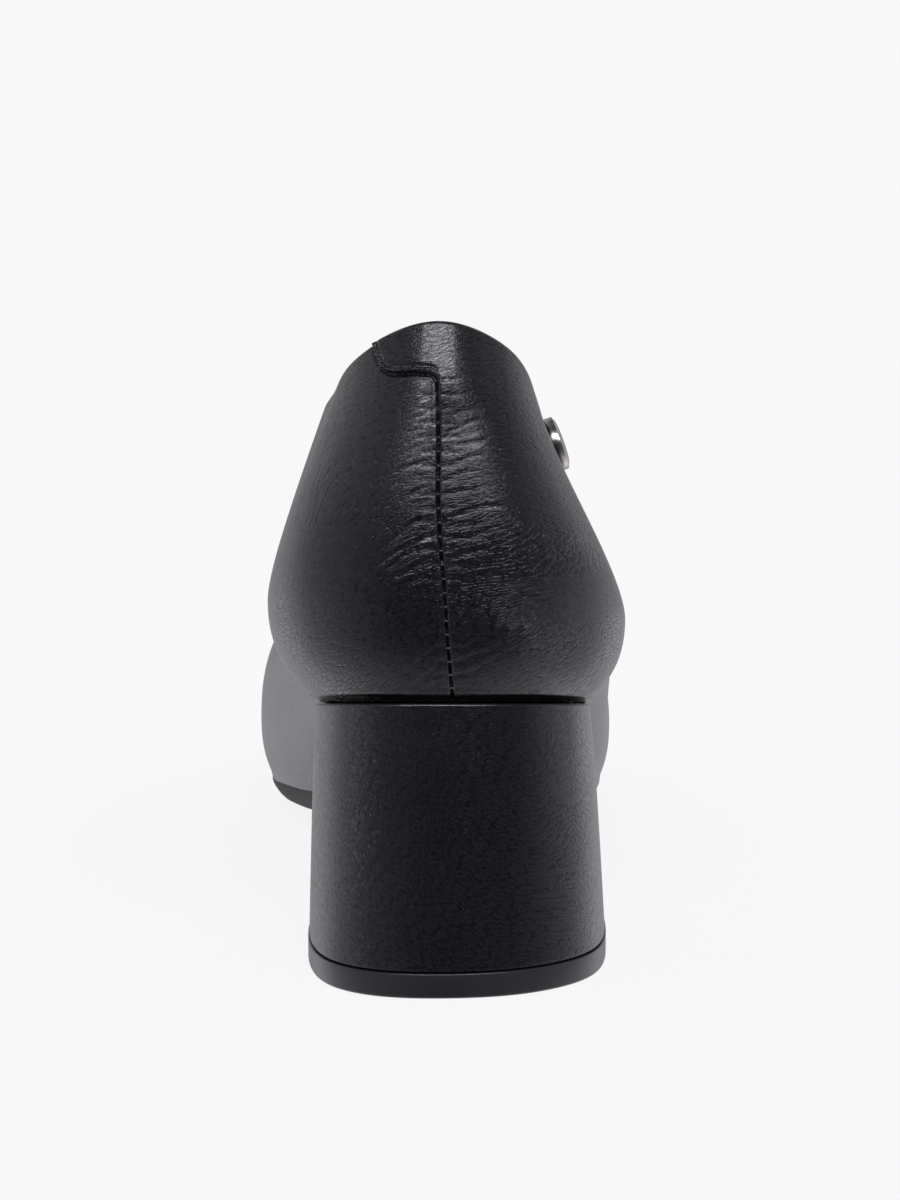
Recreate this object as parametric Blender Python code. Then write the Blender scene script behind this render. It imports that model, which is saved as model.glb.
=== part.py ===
"""A block heel pump for the right foot, at its real size.

The shoe points along +Y with its outer (lateral) side at +X, and stands on z = 0.
Heights and places below are in millimetres from the floor and from the back of the heel.
"""

import math
from collections import namedtuple

import bmesh
import bpy
import numpy as np
from mathutils import Vector

MM = 0.001

# Driving sizes of the shoe, in millimetres
HEEL_SEAT_Z = 50.6
HEEL_FRONT_Y = 50.0
BACK_HEIGHT = 114.0
WALL = 1.8
FOOT_WALL = 2.25
GAP = 0.3
SOLE_THICK = 3.0
INSOLE_THICK = 2.2
INSOLE_FIT = 0.45
TIP_THICK = 4.3
TIP_PROUD = 0.2
TIP_BOTTOM_ROUND = 0.5
HEEL_EDGE_ROUND = 0.6
BADGE_DIAMETER = 10.2
BADGE_THICK = 1.6
BADGE_EDGE = 0.2
BADGE_DOME = 0.7
BADGE_SEGMENTS = 28
TAB_STEP = 0.9

# The middle of the shoe's box, which becomes the origin
MIDDLE_X = -4.1
MIDDLE_Y = 122.4

# The line of the last's bottom seen from the side: seat, arch, tread under the ball, toe spring.
# The tread lies a little low, so that cutting the sole off at the floor leaves a flat spot there.
BottomPoint = namedtuple("BottomPoint", "y z slope")
SEAT_SLOPE = -0.152
TREAD_FLAT = 0.25
TREAD_Z = SOLE_THICK + GAP - TREAD_FLAT
BOTTOM_LINE = (
    BottomPoint(y=0.0, z=HEEL_SEAT_Z, slope=SEAT_SLOPE),
    BottomPoint(y=HEEL_FRONT_Y, z=HEEL_SEAT_Z + SEAT_SLOPE * HEEL_FRONT_Y, slope=SEAT_SLOPE),
    BottomPoint(y=163.0, z=TREAD_Z, slope=0.0),
    BottomPoint(y=186.0, z=TREAD_Z, slope=0.0),
    BottomPoint(y=248.0, z=12.2, slope=0.26),
)
# The sole's edges curl up beside the ball
CURL = 6.2
CURL_POWER = 5
CURL_FROM_Y, CURL_FULL_Y, CURL_FADE_Y, CURL_TO_Y = 112.0, 150.0, 185.0, 232.0

# One row for each section of the upper, round the foot from the back along the inner side to the toe
# and home along the outer side. foot is where the wall meets the sole. out and up give its widest
# point beyond and above that. top is the collar. lean is how far the wall tips inwards at the collar,
# in degrees, and rise and pull are the lengths of the curve's two handles as shares of its span.
Rib = namedtuple("Rib", "foot_x foot_y out up top_x top_y top_z lean rise pull")
RIBS = (
    Rib(-1.4, 3.8, 4.0, 18.0, -2.2, 7.3, BACK_HEIGHT, 16, 0.42, 0.30),
    Rib(-11.9, 5.1, 5.0, 18.0, -12.0, 10.5, 110.8, 17, 0.40, 0.30),
    Rib(-19.8, 11.7, 6.7, 18.5, -17.9, 17.5, 106.1, 19, 0.35, 0.33),
    Rib(-23.5, 23.0, 8.0, 18.5, -20.2, 28.5, 102.4, 22, 0.22, 0.35),
    Rib(-24.6, 36.0, 8.5, 18.5, -22.6, 42.5, 99.4, 23, 0.16, 0.35),
    Rib(-24.2, 50.0, 8.5, 19.0, -24.4, 58.0, 94.6, 21, 0.17, 0.35),
    Rib(-21.9, 68.5, 8.4, 20.0, -25.6, 77.0, 87.0, 18, 0.24, 0.35),
    Rib(-20.3, 88.5, 8.2, 20.0, -26.9, 96.0, 78.2, 21, 0.28, 0.35),
    Rib(-22.8, 108.5, 7.2, 19.0, -29.6, 114.0, 70.0, 27, 0.44, 0.38),
    Rib(-31.0, 129.0, 5.2, 16.5, -30.6, 131.0, 62.6, 35, 0.52, 0.42),
    Rib(-38.8, 147.5, 3.2, 14.0, -29.0, 147.0, 57.0, 46, 0.60, 0.45),
    Rib(-42.2, 166.5, 2.5, 13.0, -24.5, 159.5, 53.2, 56, 0.58, 0.48),
    Rib(-40.8, 186.0, 2.3, 12.0, -18.5, 167.0, 50.8, 62, 0.54, 0.50),
    Rib(-36.8, 206.5, 2.0, 11.0, -12.8, 171.0, 49.6, 66, 0.48, 0.54),
    Rib(-27.5, 228.0, 1.8, 9.0, -8.2, 172.4, 49.2, 68, 0.42, 0.58),
    Rib(-9.0, 244.0, 1.5, 7.5, -5.0, 172.7, 49.1, 69, 0.38, 0.60),
    Rib(10.8, 235.0, 1.6, 8.5, -2.0, 172.4, 49.2, 68, 0.42, 0.58),
    Rib(22.5, 218.0, 2.0, 9.5, 2.8, 171.0, 49.5, 66, 0.47, 0.54),
    Rib(29.0, 198.5, 2.2, 10.5, 8.6, 167.0, 50.5, 62, 0.50, 0.50),
    Rib(33.4, 178.0, 2.2, 11.0, 14.2, 160.0, 52.6, 56, 0.48, 0.48),
    Rib(34.8, 157.5, 2.0, 11.0, 18.8, 149.5, 56.4, 46, 0.44, 0.45),
    Rib(33.0, 136.5, 2.8, 13.0, 21.6, 133.5, 62.0, 35, 0.40, 0.42),
    Rib(29.6, 114.5, 4.4, 16.0, 22.6, 116.0, 69.2, 27, 0.33, 0.38),
    Rib(27.0, 92.0, 6.0, 17.0, 21.0, 97.5, 77.4, 22, 0.22, 0.35),
    Rib(25.8, 70.5, 6.5, 16.0, 19.2, 78.0, 86.2, 20, 0.17, 0.35),
    Rib(25.7, 50.0, 6.6, 16.0, 17.9, 58.5, 94.0, 17, 0.20, 0.35),
    Rib(25.5, 36.0, 6.4, 15.2, 16.2, 42.5, 99.4, 14, 0.20, 0.35),
    Rib(23.6, 22.0, 6.1, 15.5, 14.7, 28.5, 102.8, 15, 0.28, 0.35),
    Rib(18.0, 12.0, 5.6, 16.5, 12.8, 17.5, 106.6, 18, 0.35, 0.33),
    Rib(9.2, 5.9, 4.8, 17.5, 7.8, 10.5, 111.2, 17, 0.40, 0.30),
)
SECTIONS = len(RIBS)
TOE = SECTIONS // 2
HEEL_FRONT = 5

# How the curve leaves the sole, as shares of out and up, and how it reaches the widest point
FOOT_OUT, FOOT_UP, TURN_UP = 0.45, 0.23, 0.45
WIDEST = 0.25

# The raised tab at the back: its sections and its lower edge, and how the step fades outwards
TAB_FROM, TAB_TO, TAB_EDGE = 0.0, 1.05, 0.06
TAB_LOW, TAB_LIP = 0.865, 0.008
TAB_FADE_SECTIONS, TAB_FADE_SHARE = 1.0, 0.16

# The sole's rounded edge: how far in and how far down from its top each line of it lies
SoleEdge = namedtuple("SoleEdge", "inset down")
SOLE_EDGE = (SoleEdge(0.0, 0.0), SoleEdge(0.0, 0.8), SoleEdge(1.2, 2.0), SoleEdge(3.6, SOLE_THICK))

# How finely the solids are made
STEPS_PER_SECTION = 3
ROWS = 12
RUNG_STEPS = 10

# The block heel grows a little towards the floor and reaches back
HEEL_TOP_X = 0.45
HEEL_BOTTOM_X = 1.3
HEEL_FLARE = 0.073
HEEL_BOW = 0.75
HEEL_REACH = 5.5
HEEL_LEVELS = 5
BREAST_STEPS = 4

# Where the badge sits, and how its domed face rises: shares of the radius and of the dome
BADGE_SECTION = 25.3
BADGE_HEIGHT = 0.914
DomeRing = namedtuple("DomeRing", "reach rise")
DOME_RINGS = (DomeRing(0.95, 0.2), DomeRing(0.78, 0.62), DomeRing(0.48, 0.9), DomeRing(0.18, 1.0))

# Colour and roughness of the finished pieces
Look = namedtuple("Look", "colour roughness metallic")
BLACK_LEATHER = Look((0.012, 0.012, 0.014), 0.38, 0.0)
BLACK_RUBBER = Look((0.014, 0.014, 0.015), 0.4, 0.0)
BROWN_BLACK_SOLE = Look((0.020, 0.015, 0.013), 0.5, 0.0)
BEIGE_LINING = Look((0.42, 0.33, 0.25), 0.6, 0.0)
GREY_METAL = Look((0.36, 0.34, 0.33), 0.3, 1.0)

# Points closer than this join, and edges that turn more than this show as sharp
JOIN_WITHIN = 0.00001
SHARP_DEGREES = 40.0


def clear_scene():
    for thing in list(bpy.data.objects):
        bpy.data.objects.remove(thing)


def smooth(value, start, end):
    """0 before start, 1 after end, with a soft change between them."""
    share = min(max((value - start) / (end - start), 0.0), 1.0)
    return share * share * (3.0 - 2.0 * share)


def closed_spline(rows):
    """A smooth closed curve through rows, one unit of its parameter from each row to the next."""
    points = np.array(rows, float)
    count = len(points)
    system = np.zeros((count, count))
    for row in range(count):
        system[row, row] = 4.0
        system[row, (row + 1) % count] = 1.0
        system[row, row - 1] = 1.0
    bends = np.linalg.solve(system, 6.0 * (np.roll(points, -1, 0) - 2.0 * points + np.roll(points, 1, 0)))

    def value(parameter):
        first = int(math.floor(parameter))
        part = parameter - first
        here, there = first % count, (first + 1) % count
        bend = ((1 - part) ** 3 - (1 - part)) * bends[here] + (part**3 - part) * bends[there]
        return (1 - part) * points[here] + part * points[there] + bend / 6.0

    return value


rib_values = closed_spline(RIBS)


def rib_at(section):
    return Rib(*rib_values(section))


def bottom_z(y):
    """Height of the last's bottom on its centre line."""
    for near, far in zip(BOTTOM_LINE, BOTTOM_LINE[1:]):
        if y <= far.y or far is BOTTOM_LINE[-1]:
            span = far.y - near.y
            share = (y - near.y) / span
            start = near.z * (1 + 2 * share) + near.slope * span * share
            end = far.z * (3 - 2 * share) - far.slope * span * (1 - share)
            return start * (1 - share) ** 2 + end * share**2


def base_z(y, across):
    """Height of the last's bottom, where across is 0 on the centre line and 1 at the feather edge."""
    curl = smooth(y, CURL_FROM_Y, CURL_FULL_Y) * (1 - smooth(y, CURL_FADE_Y, CURL_TO_Y))
    return bottom_z(y) + CURL * curl * abs(across) ** CURL_POWER


def plan_normal(section):
    """The direction straight out from the sole's outline, seen from above."""
    step = 0.01
    ahead, behind = rib_at(section + step), rib_at(section - step)
    along = Vector((ahead.foot_x - behind.foot_x, ahead.foot_y - behind.foot_y, 0.0))
    return Vector((-along.y, along.x, 0.0)).normalized()


def half_width(section):
    """Half the sole's width between the two sides' points of one pair of sections."""
    near, far = rib_at(section), rib_at(-section)
    return max(0.5 * math.hypot(near.foot_x - far.foot_x, near.foot_y - far.foot_y), 1.0)


def foot_point(section, inset=0.0):
    """A point of the sole's outline, moved in by inset, on the last's bottom."""
    rib = rib_at(section)
    place = Vector((rib.foot_x, rib.foot_y, 0.0)) - plan_normal(section) * inset
    across = max(1.0 - inset / half_width(section), 0.0)
    place.z = base_z(place.y, across)
    return place


def bezier(points, share):
    left = 1.0 - share
    weights = (left**3, 3 * left**2 * share, 3 * left * share**2, share**3)
    return sum((point * weight for point, weight in zip(points, weights)), Vector())


def wall_point(section, height):
    """A point of the upper's outer side. height is 0 at the sole and 1 at the collar."""
    rib = rib_at(section)
    foot = foot_point(section)
    out = plan_normal(section) * rib.out
    widest = foot + out + Vector((0, 0, rib.up))
    if height < WIDEST:
        leave = foot + out * FOOT_OUT + Vector((0, 0, rib.up * FOOT_UP))
        reach = foot + out + Vector((0, 0, rib.up * TURN_UP))
        return bezier((foot, leave, reach, widest), height / WIDEST)
    collar = Vector((rib.top_x, rib.top_y, rib.top_z))
    span = collar - widest
    level = Vector((span.x, span.y, 0.0)).normalized()
    lean = math.radians(rib.lean)
    arrive = level * math.sin(lean) + Vector((0, 0, math.cos(lean)))
    climb = widest + Vector((0, 0, rib.rise * span.z))
    settle = collar - arrive * (rib.pull * span.length)
    return bezier((widest, climb, settle, collar), (height - WIDEST) / (1.0 - WIDEST))


def wall_normal(section, height):
    """The direction straight out of the wall."""
    step = 0.004
    low, high = max(height - step, 0.0), min(height + step, 1.0)
    along = wall_point(section + step, height) - wall_point(section - step, height)
    upward = wall_point(section, high) - wall_point(section, low)
    return upward.cross(along).normalized()


def tab_step(section, height):
    """How far the tab raises the wall. It ends sharply on the inner side and fades on the outer."""
    turn = section if section <= SECTIONS / 2 else section - SECTIONS
    if turn > TAB_TO + TAB_EDGE / 2:
        return 0.0
    if turn >= TAB_FROM:
        return TAB_STEP if height > TAB_LOW - TAB_LIP / 2 else 0.0
    fade = smooth(turn, -TAB_FADE_SECTIONS, 0.0)
    return TAB_STEP * fade * smooth(height, TAB_LOW - TAB_FADE_SHARE, TAB_LOW)


def to_metres(place):
    return Vector((place.x - MIDDLE_X, place.y - MIDDLE_Y, place.z)) * MM


def section_steps():
    steps = [step / STEPS_PER_SECTION for step in range(SECTIONS * STEPS_PER_SECTION)]
    steps += [TAB_TO, TAB_TO + TAB_EDGE]
    return sorted(steps)


def height_steps():
    steps = [row / ROWS for row in range(ROWS + 1)]
    steps += [TAB_LOW - TAB_LIP, TAB_LOW]
    return sorted(steps)


def close_rings(rings):
    """A mesh from rings of equal length, each joined to the next and the last to the first."""
    mesh = bmesh.new()
    rows = [[mesh.verts.new(to_metres(place)) for place in ring] for ring in rings]
    for row, following in zip(rows, rows[1:] + rows[:1]):
        for index in range(len(row)):
            after = (index + 1) % len(row)
            mesh.faces.new((row[index], row[after], following[after], following[index]))
    return mesh


def add_object(name, mesh, material):
    """Turns a bmesh into an object with its material, with faces out and round parts smooth."""
    bmesh.ops.remove_doubles(mesh, verts=mesh.verts, dist=JOIN_WITHIN)
    bmesh.ops.recalc_face_normals(mesh, faces=mesh.faces)
    data = bpy.data.meshes.new(name)
    mesh.to_mesh(data)
    mesh.free()
    data.shade_smooth()
    data.set_sharp_from_angle(angle=math.radians(SHARP_DEGREES))
    data.materials.append(material)
    thing = bpy.data.objects.new(name, data)
    bpy.context.scene.collection.objects.link(thing)
    return thing


def make_material(name, look):
    material = bpy.data.materials.new(name)
    material.use_nodes = True
    shader = material.node_tree.nodes["Principled BSDF"]
    shader.inputs["Base Color"].default_value = (*look.colour, 1.0)
    shader.inputs["Roughness"].default_value = look.roughness
    shader.inputs["Metallic"].default_value = look.metallic
    return material


def make_upper(material):
    """The hollow shell: up the outside, over the collar and down the inside."""
    sections = section_steps()
    heights = height_steps()
    outer = []
    inner = []
    for height in heights:
        outer.append([])
        inner.append([])
        for section in sections:
            place = wall_point(section, height)
            normal = wall_normal(section, height)
            outer[-1].append(place + normal * tab_step(section, height))
            inner[-1].append(place - normal * WALL)
    inner[0] = [foot_point(section, FOOT_WALL) for section in sections]
    return add_object("upper", close_rings(outer + inner[::-1]), material)


def rungs(first, inset, lift, floor=None):
    """Rows of points across the sole from the inner edge to the outer, from a section to the toe."""
    rows = []
    for step in range(first * STEPS_PER_SECTION, TOE * STEPS_PER_SECTION + 1):
        section = step / STEPS_PER_SECTION
        left, right = foot_point(section, inset), foot_point(-section, inset)
        edge = max(1.0 - inset / half_width(section), 0.0)
        row = []
        for part in range(RUNG_STEPS + 1):
            share = 0.5 - 0.5 * math.cos(math.pi * part / RUNG_STEPS)
            place = left.lerp(right, share)
            place.z = base_z(place.y, edge * (2 * share - 1)) + lift
            if floor is not None:
                place.z = max(place.z, floor)
            row.append(place)
        rows.append(row)
    return rows


def rim(rows):
    """The border of a grid of rungs, once round."""
    there = [row[0] for row in rows]
    back = [row[-1] for row in rows]
    return there + rows[-1][1:-1] + back[::-1] + rows[0][-2:0:-1]


def plate(levels):
    """A solid between the first and the last of several grids of rungs. Those between shape its edge."""
    mesh = bmesh.new()
    grids = [[[mesh.verts.new(to_metres(place)) for place in row] for row in rows] for rows in levels]
    for grid in (grids[0], grids[-1]):
        for row, following in zip(grid, grid[1:]):
            for part in range(RUNG_STEPS):
                mesh.faces.new((row[part], row[part + 1], following[part + 1], following[part]))
    for grid, below in zip(grids, grids[1:]):
        upper_rim, lower_rim = rim(grid), rim(below)
        for index in range(len(upper_rim)):
            after = (index + 1) % len(upper_rim)
            corners = (upper_rim[index], upper_rim[after], lower_rim[after], lower_rim[index])
            mesh.faces.new(corners)
    loose = [vert for vert in mesh.verts if not vert.link_faces]
    bmesh.ops.delete(mesh, geom=loose, context="VERTS")
    return mesh


def make_insole(material):
    low = rungs(0, FOOT_WALL + INSOLE_FIT, 0.0)
    high = rungs(0, WALL + GAP, INSOLE_THICK)
    return add_object("insole", plate([high, low]), material)


def make_outsole(material):
    levels = []
    for edge in SOLE_EDGE:
        rows = rungs(HEEL_FRONT, edge.inset, -GAP - edge.down, floor=0.0)
        for place in rows[0]:
            place.y = HEEL_FRONT_Y + GAP
        levels.append(rows)
    return add_object("outsole", plate(levels), material)


def heel_outline(down, grow=0.0):
    """The heel's outline at a share of the way down: round the back and straight across the front."""
    steps = range(-HEEL_FRONT * STEPS_PER_SECTION, HEEL_FRONT * STEPS_PER_SECTION + 1)
    ring = []
    for step in steps:
        place = foot_point(step / STEPS_PER_SECTION, -grow)
        place.y = min(place.y, HEEL_FRONT_Y + grow)
        ring.append(place)
    inner, outer = ring[-1], ring[0]
    for part in range(1, BREAST_STEPS):
        ring.append(inner.lerp(outer, part / BREAST_STEPS))
    spread = down**HEEL_BOW
    middle = HEEL_TOP_X + (HEEL_BOTTOM_X - HEEL_TOP_X) * spread
    for place in ring:
        place.x = middle + (place.x - HEEL_TOP_X) * (1 + HEEL_FLARE * spread)
        place.y -= HEEL_REACH * down
    return ring


def stack(rings):
    """A solid from rings one above the other, closed by flat faces."""
    mesh = bmesh.new()
    rows = [[mesh.verts.new(to_metres(place)) for place in ring] for ring in rings]
    for row, following in zip(rows, rows[1:]):
        for index in range(len(row)):
            after = (index + 1) % len(row)
            mesh.faces.new((row[index], row[after], following[after], following[index]))
    mesh.faces.new(rows[0])
    mesh.faces.new(rows[-1])
    return mesh


def make_heel(material):
    """The covered block, from the sloping seat down to the tip."""
    bottom = TIP_THICK + GAP
    edge = heel_outline(0.0, -HEEL_EDGE_ROUND)
    for place in edge:
        place.z = bottom_z(place.y) - GAP
    rings = [edge]
    for level in range(HEEL_LEVELS + 1):
        down = level / HEEL_LEVELS
        ring = heel_outline(down)
        for place in ring:
            top = bottom_z(place.y + HEEL_REACH * down) - GAP - HEEL_EDGE_ROUND
            place.z = top + (bottom - top) * down
        rings.append(ring)
    return add_object("heel", stack(rings), material)


def make_heel_tip(material):
    rings = []
    for grow, z in (
        (TIP_PROUD, TIP_THICK),
        (TIP_PROUD, TIP_BOTTOM_ROUND),
        (TIP_PROUD - TIP_BOTTOM_ROUND, 0.0),
    ):
        ring = heel_outline(1.0, grow)
        for place in ring:
            place.z = z
        rings.append(ring)
    return add_object("heel_tip", stack(rings), material)


def make_badge(material):
    """A domed metal disc, flat at the back, seated on the outer quarter."""
    centre = wall_point(BADGE_SECTION, BADGE_HEIGHT)
    normal = wall_normal(BADGE_SECTION, BADGE_HEIGHT)
    side = normal.cross(Vector((0, 0, 1))).normalized()
    upright = side.cross(normal)
    radius = BADGE_DIAMETER / 2
    face = GAP + BADGE_THICK
    profile = [(radius - BADGE_EDGE, GAP), (radius, GAP + BADGE_EDGE), (radius, face)]
    profile += [(radius * ring.reach, face + BADGE_DOME * ring.rise) for ring in DOME_RINGS]
    rings = []
    for reach, stand in profile:
        ring = []
        for index in range(BADGE_SEGMENTS):
            turn = 2 * math.pi * index / BADGE_SEGMENTS
            spoke = side * math.cos(turn) + upright * math.sin(turn)
            ring.append(centre + normal * stand + spoke * reach)
        rings.append(ring)
    return add_object("badge", stack(rings), material)


def build():
    clear_scene()
    make_upper(make_material("upper_leather", BLACK_LEATHER))
    make_insole(make_material("insole_leather", BEIGE_LINING))
    make_outsole(make_material("outsole_rubber", BROWN_BLACK_SOLE))
    make_heel(make_material("heel_leather", BLACK_LEATHER))
    make_heel_tip(make_material("tip_rubber", BLACK_RUBBER))
    make_badge(make_material("badge_metal", GREY_METAL))


build()
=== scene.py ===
# %% [markdown]
# A block heel pump in black leather, seen from behind. The imported model gives the frame: the real
# sizes and the place of every piece. This script dresses it. Most pieces are made again as fine
# meshes over the same last, because a leather surface shows every facet, and the badge, threads
# and finishes are added. The shoe is the right one: it points along +Y, and its outer side is +X.

# %% Load the frame
import math
from collections import namedtuple

import bmesh
import bpy
import numpy as np
from mathutils import Matrix, Vector


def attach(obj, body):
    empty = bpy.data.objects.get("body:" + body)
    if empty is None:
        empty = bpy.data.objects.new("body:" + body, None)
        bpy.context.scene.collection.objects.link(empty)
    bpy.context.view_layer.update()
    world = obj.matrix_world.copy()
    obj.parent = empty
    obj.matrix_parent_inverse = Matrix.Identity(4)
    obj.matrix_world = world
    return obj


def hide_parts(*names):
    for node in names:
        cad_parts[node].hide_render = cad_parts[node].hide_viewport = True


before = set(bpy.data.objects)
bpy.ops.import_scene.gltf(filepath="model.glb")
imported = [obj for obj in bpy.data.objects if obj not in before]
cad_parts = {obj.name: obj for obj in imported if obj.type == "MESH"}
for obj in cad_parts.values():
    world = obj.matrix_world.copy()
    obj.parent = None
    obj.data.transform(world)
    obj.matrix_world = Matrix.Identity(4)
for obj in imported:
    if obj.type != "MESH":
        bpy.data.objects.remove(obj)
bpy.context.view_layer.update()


def table(kind, *rows):
    return tuple(kind(*row) for row in rows)


print("the frame's nodes:", ", ".join(sorted(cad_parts)))

# %% [markdown]
# A last is the wooden foot that a shoe is pulled over, and every piece here is measured from it.
# The sizes below are the shoe's own, in millimetres from the floor and from the back of the heel.
# They repeat the ones that the solids were made with, so each fine mesh lies on its solid.

# %% Sizes of the shoe, in millimetres
MM = 0.001
MIDDLE_X, MIDDLE_Y = -4.1, 122.4
HEEL_SEAT_Z = 50.6
HEEL_FRONT_Y = 50.0
BACK_HEIGHT = 114.0
WALL = 1.8
GAP = 0.3
SOLE_THICK = 3.0
INSOLE_THICK = 2.2
TIP_THICK = 4.3
TIP_PROUD = 0.2
WIDEST = 0.25

BottomPoint = namedtuple("BottomPoint", "y z slope")
SEAT_SLOPE = -0.152
TREAD_Z = 3.05
BOTTOM_LINE = (
    BottomPoint(y=0.0, z=HEEL_SEAT_Z, slope=SEAT_SLOPE),
    BottomPoint(y=HEEL_FRONT_Y, z=HEEL_SEAT_Z + SEAT_SLOPE * HEEL_FRONT_Y, slope=SEAT_SLOPE),
    BottomPoint(y=163.0, z=TREAD_Z, slope=0.0),
    BottomPoint(y=186.0, z=TREAD_Z, slope=0.0),
    BottomPoint(y=248.0, z=12.2, slope=0.26),
)
CURL, CURL_POWER = 6.2, 5
CURL_FROM_Y, CURL_FULL_Y, CURL_FADE_Y, CURL_TO_Y = 112.0, 150.0, 185.0, 232.0

# One row for each section round the foot, from the back along the inner side to the toe and home.
# foot is where the wall meets the sole, out and up give its widest point, top is the collar, lean
# is its tilt there in degrees, and rise and pull are the shares of the span of the two handles.
Rib = namedtuple("Rib", "foot_x foot_y out up top_x top_y top_z lean rise pull")
RIBS = table(
    Rib,
    (-1.4, 3.8, 4.0, 18.0, -2.2, 7.3, BACK_HEIGHT, 16, 0.42, 0.30),
    (-11.9, 5.1, 5.0, 18.0, -12.0, 10.5, 110.8, 17, 0.40, 0.30),
    (-19.8, 11.7, 6.7, 18.5, -17.9, 17.5, 106.1, 19, 0.35, 0.33),
    (-23.5, 23.0, 8.0, 18.5, -20.2, 28.5, 102.4, 22, 0.22, 0.35),
    (-24.6, 36.0, 8.5, 18.5, -22.6, 42.5, 99.4, 23, 0.16, 0.35),
    (-24.2, 50.0, 8.5, 19.0, -24.4, 58.0, 94.6, 21, 0.17, 0.35),
    (-21.9, 68.5, 8.4, 20.0, -25.6, 77.0, 87.0, 18, 0.24, 0.35),
    (-20.3, 88.5, 8.2, 20.0, -26.9, 96.0, 78.2, 21, 0.28, 0.35),
    (-22.8, 108.5, 7.2, 19.0, -29.6, 114.0, 70.0, 27, 0.44, 0.38),
    (-31.0, 129.0, 5.2, 16.5, -30.6, 131.0, 62.6, 35, 0.52, 0.42),
    (-38.8, 147.5, 3.2, 14.0, -29.0, 147.0, 57.0, 46, 0.60, 0.45),
    (-42.2, 166.5, 2.5, 13.0, -24.5, 159.5, 53.2, 56, 0.58, 0.48),
    (-40.8, 186.0, 2.3, 12.0, -18.5, 167.0, 50.8, 62, 0.54, 0.50),
    (-36.8, 206.5, 2.0, 11.0, -12.8, 171.0, 49.6, 66, 0.48, 0.54),
    (-27.5, 228.0, 1.8, 9.0, -8.2, 172.4, 49.2, 68, 0.42, 0.58),
    (-9.0, 244.0, 1.5, 7.5, -5.0, 172.7, 49.1, 69, 0.38, 0.60),
    (10.8, 235.0, 1.6, 8.5, -2.0, 172.4, 49.2, 68, 0.42, 0.58),
    (22.5, 218.0, 2.0, 9.5, 2.8, 171.0, 49.5, 66, 0.47, 0.54),
    (29.0, 198.5, 2.2, 10.5, 8.6, 167.0, 50.5, 62, 0.50, 0.50),
    (33.4, 178.0, 2.2, 11.0, 14.2, 160.0, 52.6, 56, 0.48, 0.48),
    (34.8, 157.5, 2.0, 11.0, 18.8, 149.5, 56.4, 46, 0.44, 0.45),
    (33.0, 136.5, 2.8, 13.0, 21.6, 133.5, 62.0, 35, 0.40, 0.42),
    (29.6, 114.5, 4.4, 16.0, 22.6, 116.0, 69.2, 27, 0.33, 0.38),
    (27.0, 92.0, 6.0, 17.0, 21.0, 97.5, 77.4, 22, 0.22, 0.35),
    (25.8, 70.5, 6.5, 16.0, 19.2, 78.0, 86.2, 20, 0.17, 0.35),
    (25.7, 50.0, 6.6, 16.0, 17.9, 58.5, 94.0, 17, 0.20, 0.35),
    (25.5, 36.0, 6.4, 15.2, 16.2, 42.5, 99.4, 14, 0.20, 0.35),
    (23.6, 22.0, 6.1, 15.5, 14.7, 28.5, 102.8, 15, 0.28, 0.35),
    (18.0, 12.0, 5.6, 16.5, 12.8, 17.5, 106.6, 18, 0.35, 0.33),
    (9.2, 5.9, 4.8, 17.5, 7.8, 10.5, 111.2, 17, 0.40, 0.30),
)
SECTIONS = len(RIBS)
HEEL_FRONT = 5
print("sections round the last:", SECTIONS)

# %% [markdown]
# The table has thirty rows, and the leather needs thousands of points, so a closed cubic spline
# runs through the rows. Everything below works on whole arrays of sections and heights at once,
# because that is hundreds of times faster than asking for one point after another.

# %% The last as a formula
def rib_bends():
    """The second differences of a closed cubic spline through the rows."""
    points = np.array(RIBS, float)
    system = 4.0 * np.eye(SECTIONS)
    system += np.roll(np.eye(SECTIONS), 1, 1) + np.roll(np.eye(SECTIONS), -1, 1)
    pull = np.roll(points, -1, 0) - 2.0 * points + np.roll(points, 1, 0)
    return points, np.linalg.solve(system, 6.0 * pull)


RIB_POINTS, RIB_BENDS = rib_bends()


def ribs_at(sections):
    """The table's columns at any sections, as a Rib of arrays."""
    first = np.floor(sections).astype(int)
    part = (sections - first)[:, None]
    here, there = first % SECTIONS, (first + 1) % SECTIONS
    bend = ((1 - part) ** 3 - (1 - part)) * RIB_BENDS[here] + (part**3 - part) * RIB_BENDS[there]
    values = (1 - part) * RIB_POINTS[here] + part * RIB_POINTS[there] + bend / 6.0
    return Rib(*values.T)


def smooth(value, start, end):
    """0 before start, 1 after end, with a soft change between them."""
    share = np.clip((value - start) / (end - start), 0.0, 1.0)
    return share * share * (3.0 - 2.0 * share)


def hump(value, middle, width):
    """A soft bell of height 1 at middle."""
    return np.exp(-(((value - middle) / width) ** 2))


def bottom_z(y):
    """Height of the last's bottom on its centre line."""
    height = np.full_like(y, np.nan)
    for near, far in zip(BOTTOM_LINE, BOTTOM_LINE[1:]):
        span = far.y - near.y
        share = (y - near.y) / span
        start = near.z * (1 + 2 * share) + near.slope * span * share
        end = far.z * (3 - 2 * share) - far.slope * span * (1 - share)
        here = np.isnan(height) & ((y <= far.y) | (far is BOTTOM_LINE[-1]))
        height = np.where(here, start * (1 - share) ** 2 + end * share**2, height)
    return height


def base_z(y, across):
    """Height of the last's bottom, where across is 0 on the centre line and 1 at its edge."""
    curl = smooth(y, CURL_FROM_Y, CURL_FULL_Y) * (1 - smooth(y, CURL_FADE_Y, CURL_TO_Y))
    return bottom_z(y) + CURL * curl * np.abs(across) ** CURL_POWER


def unit(vectors):
    return vectors / np.linalg.norm(vectors, axis=1)[:, None]


def stack_columns(x, y, z):
    return np.stack(np.broadcast_arrays(x, y, z), axis=1).astype(float)


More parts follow.
